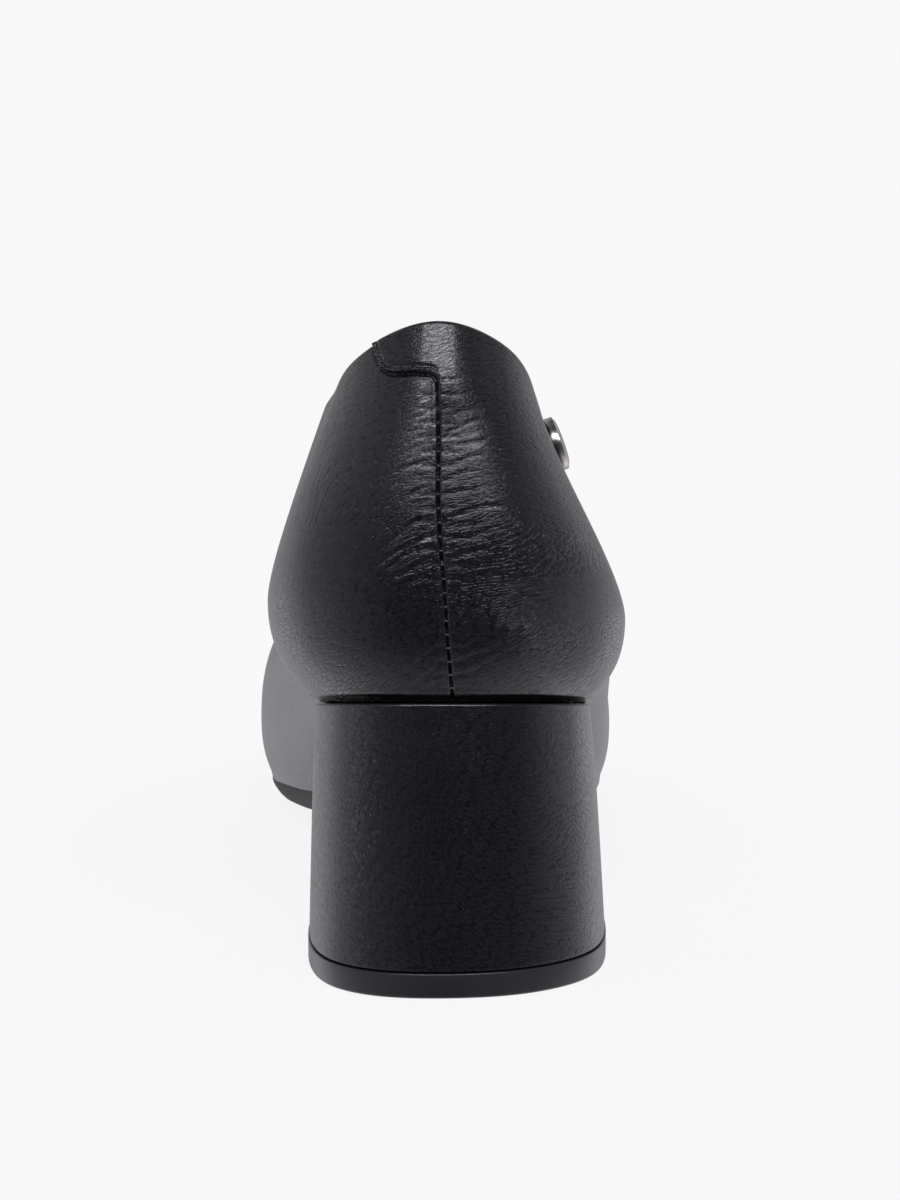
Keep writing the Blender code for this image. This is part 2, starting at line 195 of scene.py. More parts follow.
def plan_out(sections):
    """The directions straight out from the sole's outline, seen from above."""
    step = 0.01
    ahead, behind = ribs_at(sections + step), ribs_at(sections - step)
    return unit(stack_columns(behind.foot_y - ahead.foot_y, ahead.foot_x - behind.foot_x, 0.0))


def half_width(sections):
    near, far = ribs_at(sections), ribs_at(-sections)
    return np.maximum(0.5 * np.hypot(near.foot_x - far.foot_x, near.foot_y - far.foot_y), 1.0)


def foot_line(sections, inset=0.0):
    """Points of the sole's outline, moved in by inset, on the last's bottom."""
    rib = ribs_at(sections)
    place = stack_columns(rib.foot_x, rib.foot_y, 0.0) - plan_out(sections) * inset
    across = np.maximum(1.0 - inset / half_width(sections), 0.0)
    place[:, 2] = base_z(place[:, 1], across)
    return place


print("sole length:", round(float(np.ptp([rib.foot_y for rib in RIBS])), 1), "mm")

# %% [markdown]
# The wall of the upper is two curves end to end: one swells out from the sole to the widest point,
# and one climbs from there to the collar. Its outward direction comes from two short steps along
# the wall, one round the foot and one up it.

# %% The wall of the upper
FOOT_OUT, FOOT_UP, TURN_UP = 0.45, 0.23, 0.45
UP = np.array((0.0, 0.0, 1.0))


def bezier(points, share):
    left = 1.0 - share
    weights = (left**3, 3 * left**2 * share, 3 * left * share**2, share**3)
    return sum(point * weight[:, None] for point, weight in zip(points, weights))


def wall_at(sections, heights):
    """Points of the upper's outer side. A height is 0 at the sole and 1 at the collar."""
    rib = ribs_at(sections)
    foot = foot_line(sections)
    out = plan_out(sections) * rib.out[:, None]
    up = UP * rib.up[:, None]
    widest = foot + out + up
    lower = (foot, foot + out * FOOT_OUT + up * FOOT_UP, foot + out + up * TURN_UP, widest)
    collar = stack_columns(rib.top_x, rib.top_y, rib.top_z)
    span = collar - widest
    lean = np.radians(rib.lean)[:, None]
    arrive = unit(span * (1.0, 1.0, 0.0)) * np.sin(lean) + UP * np.cos(lean)
    climb = widest + UP * (rib.rise * span[:, 2])[:, None]
    settle = collar - arrive * (rib.pull * np.linalg.norm(span, axis=1))[:, None]
    higher = (widest, climb, settle, collar)
    below = bezier(lower, np.minimum(heights / WIDEST, 1.0))
    above = bezier(higher, np.maximum((heights - WIDEST) / (1.0 - WIDEST), 0.0))
    return np.where((heights < WIDEST)[:, None], below, above)


def wall_frame(sections, heights):
    """Points of the wall with their outward and upward directions."""
    step = 0.004
    low, high = np.maximum(heights - step, 0.0), np.minimum(heights + step, 1.0)
    along = wall_at(sections + step, heights) - wall_at(sections - step, heights)
    upward = wall_at(sections, high) - wall_at(sections, low)
    return wall_at(sections, heights), unit(np.cross(upward, along)), unit(upward)


def to_metres(place):
    return (place - (MIDDLE_X, MIDDLE_Y, 0.0)) * MM


# %% [markdown]
# Before any piece, the camera and the light. The photograph looks at the back of the heel from
# about forty centimetres behind it and a little above, so the horizon sits high in the picture.
# The backdrop is plain, so most of what the leather mirrors lies behind the camera.

# %% The camera
CAMERA_BACK, CAMERA_HEIGHT = -400.0, 110.0
CAMERA_DOWN = math.radians(6.04)
SENSOR, LENS = 36.0, 72.3

lens = bpy.data.cameras.new("camera")
lens.sensor_width = SENSOR
lens.sensor_fit = "AUTO"
lens.lens = LENS
lens.clip_start = 0.01
camera = bpy.data.objects.new("camera", lens)
bpy.context.scene.collection.objects.link(camera)
camera.location = to_metres(np.array((0.0, CAMERA_BACK, CAMERA_HEIGHT)))
camera.rotation_euler = (math.pi / 2 - CAMERA_DOWN, 0.0, 0.0)
bpy.context.scene.camera = camera
bpy.context.scene.view_settings.view_transform = "Standard"
print("camera at", [round(value, 4) for value in camera.location], "metres")

# %% [markdown]
# Shader maths reads best as plain sums. Value wraps one output of a node, and adding, taking away,
# multiplying or dividing Values puts in the Math nodes. Finish makes the material and any other
# node: it takes the node's type, its settings and what goes into its sockets.

# %% Values and finishes
class Value:
    """One output socket that can take part in a sum."""

    def __init__(self, finish, socket):
        self.finish = finish
        self.socket = socket

    def maths(self, operation, first, second=0.0):
        return self.finish.node("ShaderNodeMath", {"operation": operation}, {0: first, 1: second})

    def __add__(self, other):
        return self.maths("ADD", self, other)

    def __radd__(self, other):
        return self.maths("ADD", other, self)

    def __sub__(self, other):
        return self.maths("SUBTRACT", self, other)

    def __rsub__(self, other):
        return self.maths("SUBTRACT", other, self)

    def __mul__(self, other):
        return self.maths("MULTIPLY", self, other)

    def __rmul__(self, other):
        return self.maths("MULTIPLY", other, self)

    def __truediv__(self, other):
        return self.maths("DIVIDE", self, other)

    def __abs__(self):
        return self.maths("ABSOLUTE", self)

    def lowest(self, other):
        return self.maths("MINIMUM", self, other)

    def highest(self, other):
        return self.maths("MAXIMUM", self, other)

    def between(self, start, end):
        """0 at start and 1 at end, softly, and held there beyond them."""
        settings = {"interpolation_type": "SMOOTHSTEP"}
        sockets = {"Value": self, "From Min": start, "From Max": end}
        return self.finish.node("ShaderNodeMapRange", settings, sockets)


class Finish:
    """A material, or the world, that is being built node by node."""

    def __init__(self, owner):
        owner.use_nodes = True
        self.owner = owner
        self.tree = owner.node_tree
        self.tree.nodes.clear()

    def node(self, kind, settings=None, sockets=None, output=0):
        made = self.tree.nodes.new(kind)
        for name, value in (settings or {}).items():
            if name == "stops":
                self.set_stops(made.color_ramp, value)
            else:
                setattr(made, name, value)
        for name, value in (sockets or {}).items():
            if isinstance(value, Value):
                self.tree.links.new(value.socket, made.inputs[name])
            else:
                made.inputs[name].default_value = value
        return Value(self, made.outputs[output])

    def set_stops(self, ramp, stops):
        for place, _ in stops[1:-1]:
            ramp.elements.new(place)
        for element, (place, colour) in zip(ramp.elements, stops):
            element.position = place
            element.color = colour

    def mix(self, share, first, second):
        """A colour between two colours."""
        sockets = {"Factor": share, 6: first, 7: second}
        return self.node("ShaderNodeMix", {"data_type": "RGBA"}, sockets, output=2)

    def bump(self, height, distance, normal=None):
        sockets = {"Height": height, "Distance": distance, "Strength": 1.0}
        if normal is not None:
            sockets["Normal"] = normal
        return self.node("ShaderNodeBump", None, sockets)

    def close(self, surface, kind="ShaderNodeOutputMaterial"):
        target = self.tree.nodes.new(kind)
        self.tree.links.new(surface.socket, target.inputs["Surface"])
        return self.owner


def colour(red, green, blue):
    return (red, green, blue, 1.0)


# %% [markdown]
# The room is a tent of soft cloth: dark behind the camera, brightest to both sides beyond the
# shoe, which lights the rims, and half dark straight ahead. One large bright panel above the
# camera puts the highlight on the tab and the glints on the cracks beside the seam.

# %% The light tent
TentWall = namedtuple("TentWall", "degrees light")
TENT_WALLS = table(
    TentWall,
    (0.0, 0.05), (22.0, 0.22), (37.0, 0.35), (52.0, 0.50),
    (67.0, 0.70), (82.0, 0.97), (97.0, 1.12), (112.0, 1.36),
    (127.0, 1.46), (142.0, 1.16), (160.0, 0.56), (180.0, 0.36),
)
TENT_LEFT, TENT_TURN, TENT_DIP, TENT_DARKEST = 0.10, 0.13, 0.42, 0.03
TENT_GREEN, TENT_BLUE = 0.985, 1.05
TENT_SKY, TENT_GROUND, TENT_OVERHEAD = 0.32, 0.65, 0.75
DIP_UP, SKY_UP = (-0.15, 0.10), (0.12, 0.50)
GROUND_DOWN, OVERHEAD_UP = (0.45, 0.85), (0.60, 0.92)
PANEL_LIGHT = 13.5
PANEL_LEFT, PANEL_RIGHT = -0.46, 0.74
PANEL_LOW, PANEL_HIGH, PANEL_SOFT = 0.53, 1.05, 0.05


def light_tent():
    world = bpy.data.worlds.new("light_tent")
    bpy.context.scene.world = world
    tent = Finish(world)
    view = tent.node("ShaderNodeTexCoord", None, None, output=0)
    split = tent.node("ShaderNodeSeparateXYZ", None, {0: view})
    across, ahead, up = (Value(tent, output) for output in split.socket.node.outputs)
    turn = abs(across.maths("ARCTAN2", across, 0.0 - ahead)) / math.pi
    brightest = max(wall.light for wall in TENT_WALLS)
    greys = [wall.light / brightest for wall in TENT_WALLS]
    places = [wall.degrees / 180.0 for wall in TENT_WALLS]
    stops = [(place, colour(grey, grey, grey)) for place, grey in zip(places, greys)]
    walls = tent.node("ShaderNodeValToRGB", {"stops": stops}, {0: turn}) * brightest
    walls = walls * (1 - TENT_DIP * up.between(*DIP_UP))
    walls = walls - across * (TENT_LEFT - TENT_TURN * ahead)
    sky = TENT_SKY * up.between(*SKY_UP)
    ground = TENT_GROUND * (0.0 - up).between(*GROUND_DOWN)
    depth = (0.0 - ahead).highest(0.01)
    panel = PANEL_LIGHT
    for place, low, high in ((across, PANEL_LEFT, PANEL_RIGHT), (up, PANEL_LOW, PANEL_HIGH)):
        on_plane = place / depth
        panel = panel * on_plane.between(low - PANEL_SOFT, low + PANEL_SOFT)
        panel = panel * (1 - on_plane.between(high - PANEL_SOFT, high + PANEL_SOFT))
    overhead = 1 - TENT_OVERHEAD * up.between(*OVERHEAD_UP)
    light = (walls + sky + ground).highest(TENT_DARKEST) * overhead + panel
    shade = {0: light, 1: light * TENT_GREEN, 2: light * TENT_BLUE}
    shade = tent.node("ShaderNodeCombineColor", None, shade)
    surface = tent.node("ShaderNodeBackground", None, {"Color": shade, "Strength": 1.0})
    tent.close(surface, "ShaderNodeOutputWorld")


light_tent()
print("light tent:", len(TENT_WALLS), "wall tones, panel", PANEL_LIGHT)

# %% [markdown]
# The floor is a plain pale sheet. It is much larger than the view, and it glows a little, as a
# light table does, so that it stays even and the shadow under the shoe stays soft. The backdrop
# is a dome that only the camera sees: it keeps the background pale from every side, and the
# leather goes on mirroring the light tent behind it.

# %% Floor and backdrop
FLOOR_SIZE = 6.0
DOME_SIZE = 12.0
PALE = 0.9387
FLOOR_GREY = 0.06
FLOOR_GLOW = 0.872


def add_object(name, mesh, data, material):
    """The finished mesh as an object in the scene, under one material."""
    mesh.to_mesh(data)
    mesh.free()
    data.materials.append(material)
    thing = bpy.data.objects.new(name, data)
    bpy.context.scene.collection.objects.link(thing)
    return thing


def glowing(name, grey, glow):
    made = Finish(bpy.data.materials.new(name))
    sockets = {"Base Color": colour(grey, grey, grey), "Roughness": 0.9, "Specular IOR Level": 0.0}
    sockets["Emission Color"] = colour(1.0, 1.0, 1.0)
    sockets["Emission Strength"] = glow
    return made.close(made.node("ShaderNodeBsdfPrincipled", None, sockets))


sheet = bmesh.new()
bmesh.ops.create_grid(sheet, x_segments=1, y_segments=1, size=FLOOR_SIZE)
floor_data = bpy.data.meshes.new("floor")
floor = add_object("floor", sheet, floor_data, glowing("floor_card", FLOOR_GREY, FLOOR_GLOW))
dome_mesh = bmesh.new()
bmesh.ops.create_icosphere(dome_mesh, subdivisions=3, radius=DOME_SIZE)
bmesh.ops.reverse_faces(dome_mesh, faces=dome_mesh.faces)
dome_data = bpy.data.meshes.new("backdrop")
dome = add_object("backdrop", dome_mesh, dome_data, glowing("backdrop_card", 0.0, PALE))
for seen_by in ("visible_diffuse", "visible_glossy", "visible_transmission", "visible_shadow"):
    setattr(dome, seen_by, False)
floor.visible_glossy = False

# %% [markdown]
# Every leather and rubber piece starts as the same thing: a flat grid of unit size. A function
# then says where on the last each point of the grid belongs. The grid's two shares are the way
# round the shoe and the way up or across it. Where two edges of the grid meet, they are welded.
# The flow map is the piece's own UV map, in millimetres, and the leather's streaks follow it.

# %% Unit grids bent onto the last
WELD = 0.000002


def unit_grid(columns, rows):
    mesh = bmesh.new()
    bmesh.ops.create_grid(mesh, x_segments=columns, y_segments=rows, size=0.5)
    return mesh


def shares_of(data):
    """The unit coordinates of a mesh's points, from 0 to 1."""
    flat = np.empty(len(data.vertices) * 3)
    data.vertices.foreach_get("co", flat)
    spots = flat.reshape(-1, 3)
    reach = np.maximum(np.ptp(spots, axis=0), 1e-9)
    return (spots - spots.min(0)) / reach


def rows_at(shares, rows):
    """The columns of a table, given as a namedtuple of arrays, at even shares of its length."""
    places = shares * (len(rows[0]) - 1)
    return type(rows)(*(np.interp(places, np.arange(len(column)), column) for column in rows))


def bend_to(name, mesh, place, flow):
    """An object whose points are moved by place, in shoe millimetres, and mapped by flow."""
    data = bpy.data.meshes.new(name)
    mesh.to_mesh(data)
    mesh.free()
    shares = shares_of(data)
    spots = place(shares)
    data.vertices.foreach_set("co", to_metres(spots).ravel())
    uses = np.empty(len(data.loops), dtype=np.int32)
    data.loops.foreach_get("vertex_index", uses)
    layer = data.uv_layers.new(name="flow")
    layer.data.foreach_set("uv", flow(shares, spots)[uses].ravel())
    welded = bmesh.new()
    welded.from_mesh(data)
    bmesh.ops.remove_doubles(welded, verts=welded.verts, dist=WELD)
    return data, welded


def add_piece(name, data, mesh, material, sharp_degrees=60.0):
    bmesh.ops.recalc_face_normals(mesh, faces=mesh.faces)
    thing = add_object(name, mesh, data, material)
    data.update()
    data.shade_smooth()
    data.set_sharp_from_angle(angle=math.radians(sharp_degrees))
    triangles = sum(len(face.vertices) - 2 for face in data.polygons)
    print(name, "has", triangles, "triangles")
    return thing


def dress(thing, node):
    """The piece rides the shoe and, when it stands for a node, hides that node's solid."""
    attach(thing, "root")
    if node:
        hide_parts(node)
    return thing


def make_piece(name, mesh, place, flow, material, node, sharp_degrees=60.0):
    """A bent grid or block as a dressed piece of the shoe, with any open ends capped."""
    data, bent = bend_to(name, mesh, place, flow)
    bmesh.ops.holes_fill(bent, edges=[edge for edge in bent.edges if edge.is_boundary], sides=0)
    return dress(add_piece(name, data, bent, material, sharp_degrees), node)


# %% [markdown]
# The upper's leather. On a pump like this the two quarters meet in one seam down the back of the
# heel. At the top the outer quarter runs on over the inner one as a small tab, stitched down, so
# the seam ends under it. The wall's grid is fine where that shows and coarse along the sides: the
# first table gives the places round the foot, in sections from the seam, with the spacing of
# points between them, and the second gives the heights.

# %% Where the upper's points lie
Stretch = namedtuple("Stretch", "end step")
ROUND_THE_FOOT = table(
    Stretch,
    (0.32, 0.0135), (1.35, 0.0235), (4.0, 0.070), (26.0, 0.118),
    (28.65, 0.070), (29.68, 0.036), (30.0, 0.0135),
)
UP_THE_WALL = table(
    Stretch,
    (0.05, 0.0080), (0.25, 0.0060), (0.80, 0.0062), (0.90, 0.0036), (0.985, 0.0056),
)


def spaced(stretches):
    """Places along a line that are evenly spaced within each stretch."""
    places = [0.0]
    for stretch in stretches:
        count = max(round((stretch.end - places[-1]) / stretch.step), 1)
        places += list(np.linspace(places[-1], stretch.end, count + 1)[1:])
    return np.array(places)


def taken(shares, places):
    """Turns even shares of a grid into the places of a table."""
    return np.interp(shares * (len(places) - 1), np.arange(len(places)), places)


SKIN_SECTIONS = spaced(ROUND_THE_FOOT)
SKIN_HEIGHTS = spaced(UP_THE_WALL)
print("the upper's grid:", len(SKIN_SECTIONS), "round by", len(SKIN_HEIGHTS), "up")

# %% [markdown]
# The seam leans: it leaves the sole a little to the outer side and reaches the tab a little to the
# inner side. Between two stitches the fold opens into a dark slot, and each stitch pulls it shut
# and puckers the leather beside it.

# %% The seam and the tab as a relief
SeamPoint = namedtuple("SeamPoint", "z x")
SEAM = table(
    SeamPoint,
    (50.0, 0.5), (56.0, 0.0), (61.0, -0.45), (67.0, -0.75), (72.0, -1.1),
    (77.0, -1.6), (85.0, -2.0), (95.0, -1.9), (104.5, -2.1),
)
SEAM_FOOT_SHIFT = -0.125
SEAM_TOP_Z = 104.9
SEAM_HALF, SEAM_DEEP, SEAM_SHUT = 0.23, 0.70, 0.6
STITCH_PITCH, STITCH_FIRST_Z, STITCH_BAR = 2.35, 52.4, 0.30
LIP_OUT, LIP_WIDE, LIP_HIGH = 0.70, 0.40, 0.07
PUCKER_OUT, PUCKER_WIDE, PUCKER_DEEP = 1.8, 1.5, 0.09

TabPoint = namedtuple("TabPoint", "x z")
TAB_LINE = table(
    TabPoint,
    (-13.6, 115.0), (-12.9, 111.2), (-12.7, 109.6), (-12.1, 107.7), (-11.5, 106.4),
    (-10.6, 105.65), (-9.3, 105.4), (-5.8, 105.6), (-3.4, 105.4), (-2.5, 105.0),
    (-2.15, 104.2), (-2.05, 92.0),
)
TAB_STEP = 0.9
TAB_RISE = 0.16
TAB_FADE_X, TAB_FADED_X = -2.0, 8.0
TAB_FADE_LOW, TAB_FADE_HIGH = 95.0, 104.0
TAB_STITCH_IN = 0.85
TAB_EDGE_STARTS, TAB_EDGE_ENDS, TAB_EDGE_ABOVE = (-14.5, -13.5), (-2.6, -1.6), (103.6, 104.6)

Fold = namedtuple("Fold", "rise inside width")
TAB_FOLDS = table(Fold, (0.16, 0.32, 0.22), (-0.20, TAB_STITCH_IN, 0.28), (-0.38, -0.35, 0.30))


def seam_x(z):
    return np.interp(z, [point.z for point in SEAM], [point.x for point in SEAM])


def tab_distance(x, z):
    """How far a point is inside the tab's outline, seen from behind. It is negative outside."""
    nearest = np.full_like(x, 1e9)
    signed = np.full_like(x, -1e9)
    for start, end in zip(TAB_LINE, TAB_LINE[1:]):
        run_x, run_z = end.x - start.x, end.z - start.z
        length = math.hypot(run_x, run_z)
        share = np.clip(((x - start.x) * run_x + (z - start.z) * run_z) / length**2, 0.0, 1.0)
        off_x, off_z = x - start.x - share * run_x, z - start.z - share * run_z
        distance = np.hypot(off_x, off_z)
        side = np.sign(run_x * off_z - run_z * off_x)
        closer = distance < nearest
        signed = np.where(closer, side * distance, signed)
        nearest = np.where(closer, distance, nearest)
    return signed


def stitch_bar(z):
    """1 on a stitch of the back seam and 0 between two stitches."""
    off = (z - STITCH_FIRST_Z + STITCH_PITCH / 2) % STITCH_PITCH - STITCH_PITCH / 2
    return hump(off, 0.0, STITCH_BAR)


def seam_relief(x, z):
    aside = x - seam_x(z)
    bar = stitch_bar(z)
    open_seam = 1 - smooth(z, SEAM_TOP_Z - 0.5, SEAM_TOP_Z)
    slot = -SEAM_DEEP * hump(aside, 0.0, SEAM_HALF) * (1 - SEAM_SHUT * bar)
    lips = LIP_HIGH * hump(np.abs(aside), LIP_OUT, LIP_WIDE) * (1 - bar)
    pucker = -PUCKER_DEEP * bar * hump(np.abs(aside), PUCKER_OUT, PUCKER_WIDE)
    return (slot + lips + pucker) * open_seam


def tab_relief(x, z):
    inside = tab_distance(x, z)
    fade = (1 - smooth(x, TAB_FADE_X, TAB_FADED_X)) * smooth(z, TAB_FADE_LOW, TAB_FADE_HIGH)
    step = TAB_STEP * smooth(inside, -TAB_RISE, TAB_RISE) * fade
    edge = smooth(x, *TAB_EDGE_STARTS) * (1 - smooth(x, *TAB_EDGE_ENDS)) * smooth(z, *TAB_EDGE_ABOVE)
    folds = sum(fold.rise * hump(inside, fold.inside, fold.width) for fold in TAB_FOLDS)
    return step + folds * edge


# %% [markdown]
# Leather that is pulled over a last keeps strain lines. Beside the seam they lie level, and
# further out they run down the inner side and up the outer side, so they are placed along a flow:
# a level line at the seam that falls or rises by a slope and a bend, which change with height.
# The main creases are soft troughs placed on those lines. side is -1 for the inner side
# and 1 for the outer, level is the height at the seam, and start and end are across from it.

# %% Flow of the leather and the main creases
Flow = namedtuple("Flow", "z slope bend")
INNER_FLOW = table(
    Flow,
    (50.0, 0.75, 0.000), (62.0, 0.60, 0.004), (71.0, 0.10, 0.030), (80.0, 0.02, 0.052),
    (92.0, 0.05, 0.040), (104.0, 0.15, 0.030), (114.0, 0.20, 0.025),
)
OUTER_FLOW = table(
    Flow,
    (50.0, -0.28, -0.012), (63.0, -0.30, -0.012), (71.0, -0.02, -0.002), (79.0, -0.18, -0.004),
    (92.0, -0.22, 0.004), (102.0, -0.42, 0.006), (114.0, -0.60, 0.012),
)
FLOW_REACH = 27.0


def flow_level(x, z):
    """The height at the seam of the flow line through a point."""
    aside = x - seam_x(z)
    away = np.minimum(np.abs(aside), FLOW_REACH)
    level = z.copy()
    for side, rows in ((-1.0, INNER_FLOW), (1.0, OUTER_FLOW)):
        slope = np.interp(z, [row.z for row in rows], [row.slope for row in rows])
        bend = np.interp(z, [row.z for row in rows], [row.bend for row in rows])
        level = np.where(aside * side > 0, z + slope * away + bend * away**2, level)
    return level


Crease = namedtuple("Crease", "side level start end width depth")
CREASES = table(
    Crease,
    (-1, 101.4, 1.0, 7.0, 0.34, 0.10), (-1, 99.2, 0.8, 4.5, 0.30, 0.12), (-1, 96.6, 1.2, 6.0, 0.32, 0.10),
    (-1, 93.9, 0.8, 5.0, 0.32, 0.12), (-1, 91.3, 1.0, 6.5, 0.34, 0.14), (-1, 88.9, 0.8, 4.5, 0.32, 0.12),
    (-1, 86.7, 0.8, 5.5, 0.34, 0.16), (-1, 84.6, 1.0, 4.0, 0.32, 0.12), (-1, 81.4, 0.6, 8.5, 0.40, 0.20),
    (-1, 78.5, 0.6, 11.5, 0.42, 0.24), (-1, 77.0, 0.8, 10.0, 0.38, 0.20), (-1, 74.6, 0.6, 9.0, 0.40, 0.20),
    (-1, 72.6, 0.8, 7.0, 0.36, 0.16), (-1, 70.3, 2.0, 7.5, 0.34, 0.12), (-1, 67.9, 0.8, 7.0, 0.34, 0.12),
    (-1, 66.2, 2.0, 8.5, 0.32, 0.10), (-1, 60.6, 0.8, 9.0, 0.40, 0.12), (-1, 57.8, 0.8, 10.0, 0.40, 0.12),
    (-1, 55.2, 1.0, 11.0, 0.42, 0.10), (1, 100.2, 0.8, 6.0, 0.32, 0.12), (1, 97.8, 1.0, 8.0, 0.34, 0.12),
    (1, 95.4, 0.8, 7.0, 0.32, 0.14), (1, 92.7, 0.8, 8.0, 0.34, 0.14), (1, 90.3, 1.0, 7.0, 0.34, 0.14),
    (1, 87.9, 0.8, 6.0, 0.34, 0.14), (1, 85.2, 1.0, 7.5, 0.34, 0.14), (1, 81.5, 0.8, 11.0, 0.40, 0.20),
    (1, 79.4, 0.8, 6.0, 0.34, 0.16), (1, 77.6, 0.8, 9.5, 0.38, 0.20), (1, 74.9, 0.6, 8.0, 0.42, 0.24),
    (1, 73.2, 1.5, 6.5, 0.32, 0.12), (1, 71.3, 2.0, 10.0, 0.38, 0.18), (1, 70.0, 0.8, 11.0, 0.34, 0.14),
    (1, 67.8, 0.8, 3.5, 0.34, 0.14), (1, 66.6, 5.0, 24.0, 0.42, 0.14), (1, 65.0, 1.0, 6.0, 0.34, 0.10),
    (1, 61.6, 0.8, 14.0, 0.40, 0.10), (1, 58.9, 1.5, 22.0, 0.42, 0.12), (1, 56.6, 1.0, 20.0, 0.42, 0.12),
    (1, 54.4, 1.5, 17.0, 0.42, 0.10),
)
WAVER, WAVER_LENGTH, WAVER_LENGTHS, WAVER_PHASE = 0.26, 1.7, 4, 2.3
CREASE_DEPTH, CREASE_WIDTH = 0.62, 0.85
CREASE_RIDGE, CREASE_RIDGE_OFF = 0.6, 1.8
CREASE_FADE, CREASE_FADE_SHARE, CREASE_EARLY = 1.6, 0.4, 0.6


def crease_relief(x, z):
    """The main creases: a trough with a soft ridge along its upper side."""
    aside = x - seam_x(z)
    level = flow_level(x, z)
    height = np.zeros_like(x)
    for number, crease in enumerate(CREASES):
        away = aside * crease.side
        waves = away / WAVER_LENGTH * (1 + 0.1 * (number % WAVER_LENGTHS))
        off = level - crease.level - WAVER * np.sin(waves + WAVER_PHASE * number)
        fade = min(CREASE_FADE, CREASE_FADE_SHARE * (crease.end - crease.start))
        along = smooth(away, crease.start - CREASE_EARLY, crease.start + fade)
        along *= 1 - smooth(away, crease.end - fade, crease.end + fade)
        wide = CREASE_WIDTH * crease.width
        trough = hump(off, 0.0, wide) - CREASE_RIDGE * hump(off, CREASE_RIDGE_OFF * wide, wide)
        height -= CREASE_DEPTH * crease.depth * trough * along
    return height


print("main creases placed by hand:", len(CREASES))

# %% [markdown]
# The upper's leather is one closed shell: up the outer side, over the folded collar edge and down
# the hidden inner side. At the foot it tucks in above the heel, which leaves the dark line there.
# The tuck is higher where the leather was pulled in most, at both sides of the heel. Beside the
# ball of the foot it hangs a little over the sole's edge instead. The inner side's foot turns in.

# %% Make the upper's leather
LEATHER_THICK = 1.1
TURNED_IN = 2.6
ROLL_STEPS = 6
INNER_HEIGHTS = (0.97, 0.9, 0.8, 0.65, 0.5, 0.35, 0.25, 0.15, 0.08, 0.03, 0.0)
TUCK_TO, TUCK_IN, TUCK_UP = 0.028, 1.4, 0.05
TUCK_MORE_X, TUCK_MORE_WIDE, TUCK_MORE = 14.0, 6.0, 0.30
FOOT_HANG, FOOT_OVER, HANG_TO = 1.9, 0.12, 0.025
HANG_FROM_Y, HANG_FULL_Y, HANG_LESS_Y, HANG_END_Y, HANG_LESS = 80.0, 112.0, 128.0, 172.0, 0.95
RELIEF_Y_FULL, RELIEF_Y_NONE = 26.0, 52.0

WallRow = namedtuple("WallRow", "height inward lift relief")


def skin_rows():
    """Every row of the shell: its height, how far in, how far up past the collar, its relief."""
    rows = [WallRow(height, 0.0, 0.0, 1.0) for height in SKIN_HEIGHTS]
    radius = LEATHER_THICK / 2
    for step in range(ROLL_STEPS + 1):
        turn = math.pi * step / ROLL_STEPS
        inward = radius * (1 - math.cos(turn))
        rows.append(WallRow(1.0, inward, radius * (math.sin(turn) - 1), 1 - step / ROLL_STEPS))
    rows += [WallRow(height, LEATHER_THICK, 0.0, 0.0) for height in INNER_HEIGHTS]
    rows.append(WallRow(0.0, TURNED_IN, 0.0, 0.0))
    rows.append(rows[0])
    return WallRow(*np.array(rows).T)


SKIN_ROWS = skin_rows()


def seam_start(heights):
    """How many sections the seam lies from the middle of the heel."""
    return SEAM_FOOT_SHIFT * (1 - smooth(heights, 0.0, 0.25))


def tucked(place, sections, heights):
    """The foot of the wall drawn in under itself, with a fold that arches up a little."""
    rear = 1 - smooth(place[:, 1], RELIEF_Y_FULL, RELIEF_Y_NONE)
    tuck = rear * (1 - smooth(heights, 0.0, TUCK_TO))
    lift = TUCK_UP + TUCK_MORE * hump(np.abs(place[:, 0]), TUCK_MORE_X, TUCK_MORE_WIDE) * rear
    place -= plan_out(sections) * (TUCK_IN * tuck)[:, None]
    place[:, 2] += lift * 4 * tuck * (1 - tuck)
    return place


def hung(place, sections, row):
    """The foot of the wall lowered over the sole's edge beside the ball of the foot."""
    y = place[:, 1]
    hang = smooth(y, HANG_FROM_Y, HANG_FULL_Y) * (1 - HANG_LESS * smooth(y, HANG_LESS_Y, HANG_END_Y))
    hang *= (1 - smooth(row.height, 0.0, HANG_TO)) * (row.inward < LEATHER_THICK)
    place += plan_out(sections) * (FOOT_OVER * hang)[:, None]
    place[:, 2] -= FOOT_HANG * hang
    return place


def skin_at(shares):
    row = rows_at(shares[:, 1], SKIN_ROWS)
    sections = taken(shares[:, 0], SKIN_SECTIONS) + seam_start(row.height)
    wall, out, up = wall_frame(sections, row.height)
    x, y, z = wall.T
    rear = 1 - smooth(y, RELIEF_Y_FULL, RELIEF_Y_NONE)
    relief = (seam_relief(x, z) + crease_relief(x, z)) * rear + tab_relief(x, z) * (y < RELIEF_Y_NONE)
    place = wall + out * (relief * row.relief - row.inward)[:, None] + up * row.lift[:, None]
    return hung(tucked(place, sections, row.height), sections, row)


def girth_table():
    """How far round the foot each section lies from the seam, in millimetres."""
    line = wall_at(SKIN_SECTIONS, np.full_like(SKIN_SECTIONS, 0.5))
    steps = np.linalg.norm(np.diff(line, axis=0), axis=1)
    return np.concatenate(([0.0], np.cumsum(steps)))


GIRTHS = girth_table()
GIRTH = float(GIRTHS[-1])


def skin_flow(shares, spots):
    round_foot = np.interp(shares[:, 0] * (len(SKIN_SECTIONS) - 1), np.arange(len(GIRTHS)), GIRTHS)
    return np.stack((round_foot, flow_level(spots[:, 0], spots[:, 2])), axis=1)


print("girth half way up:", round(GIRTH, 1), "mm")
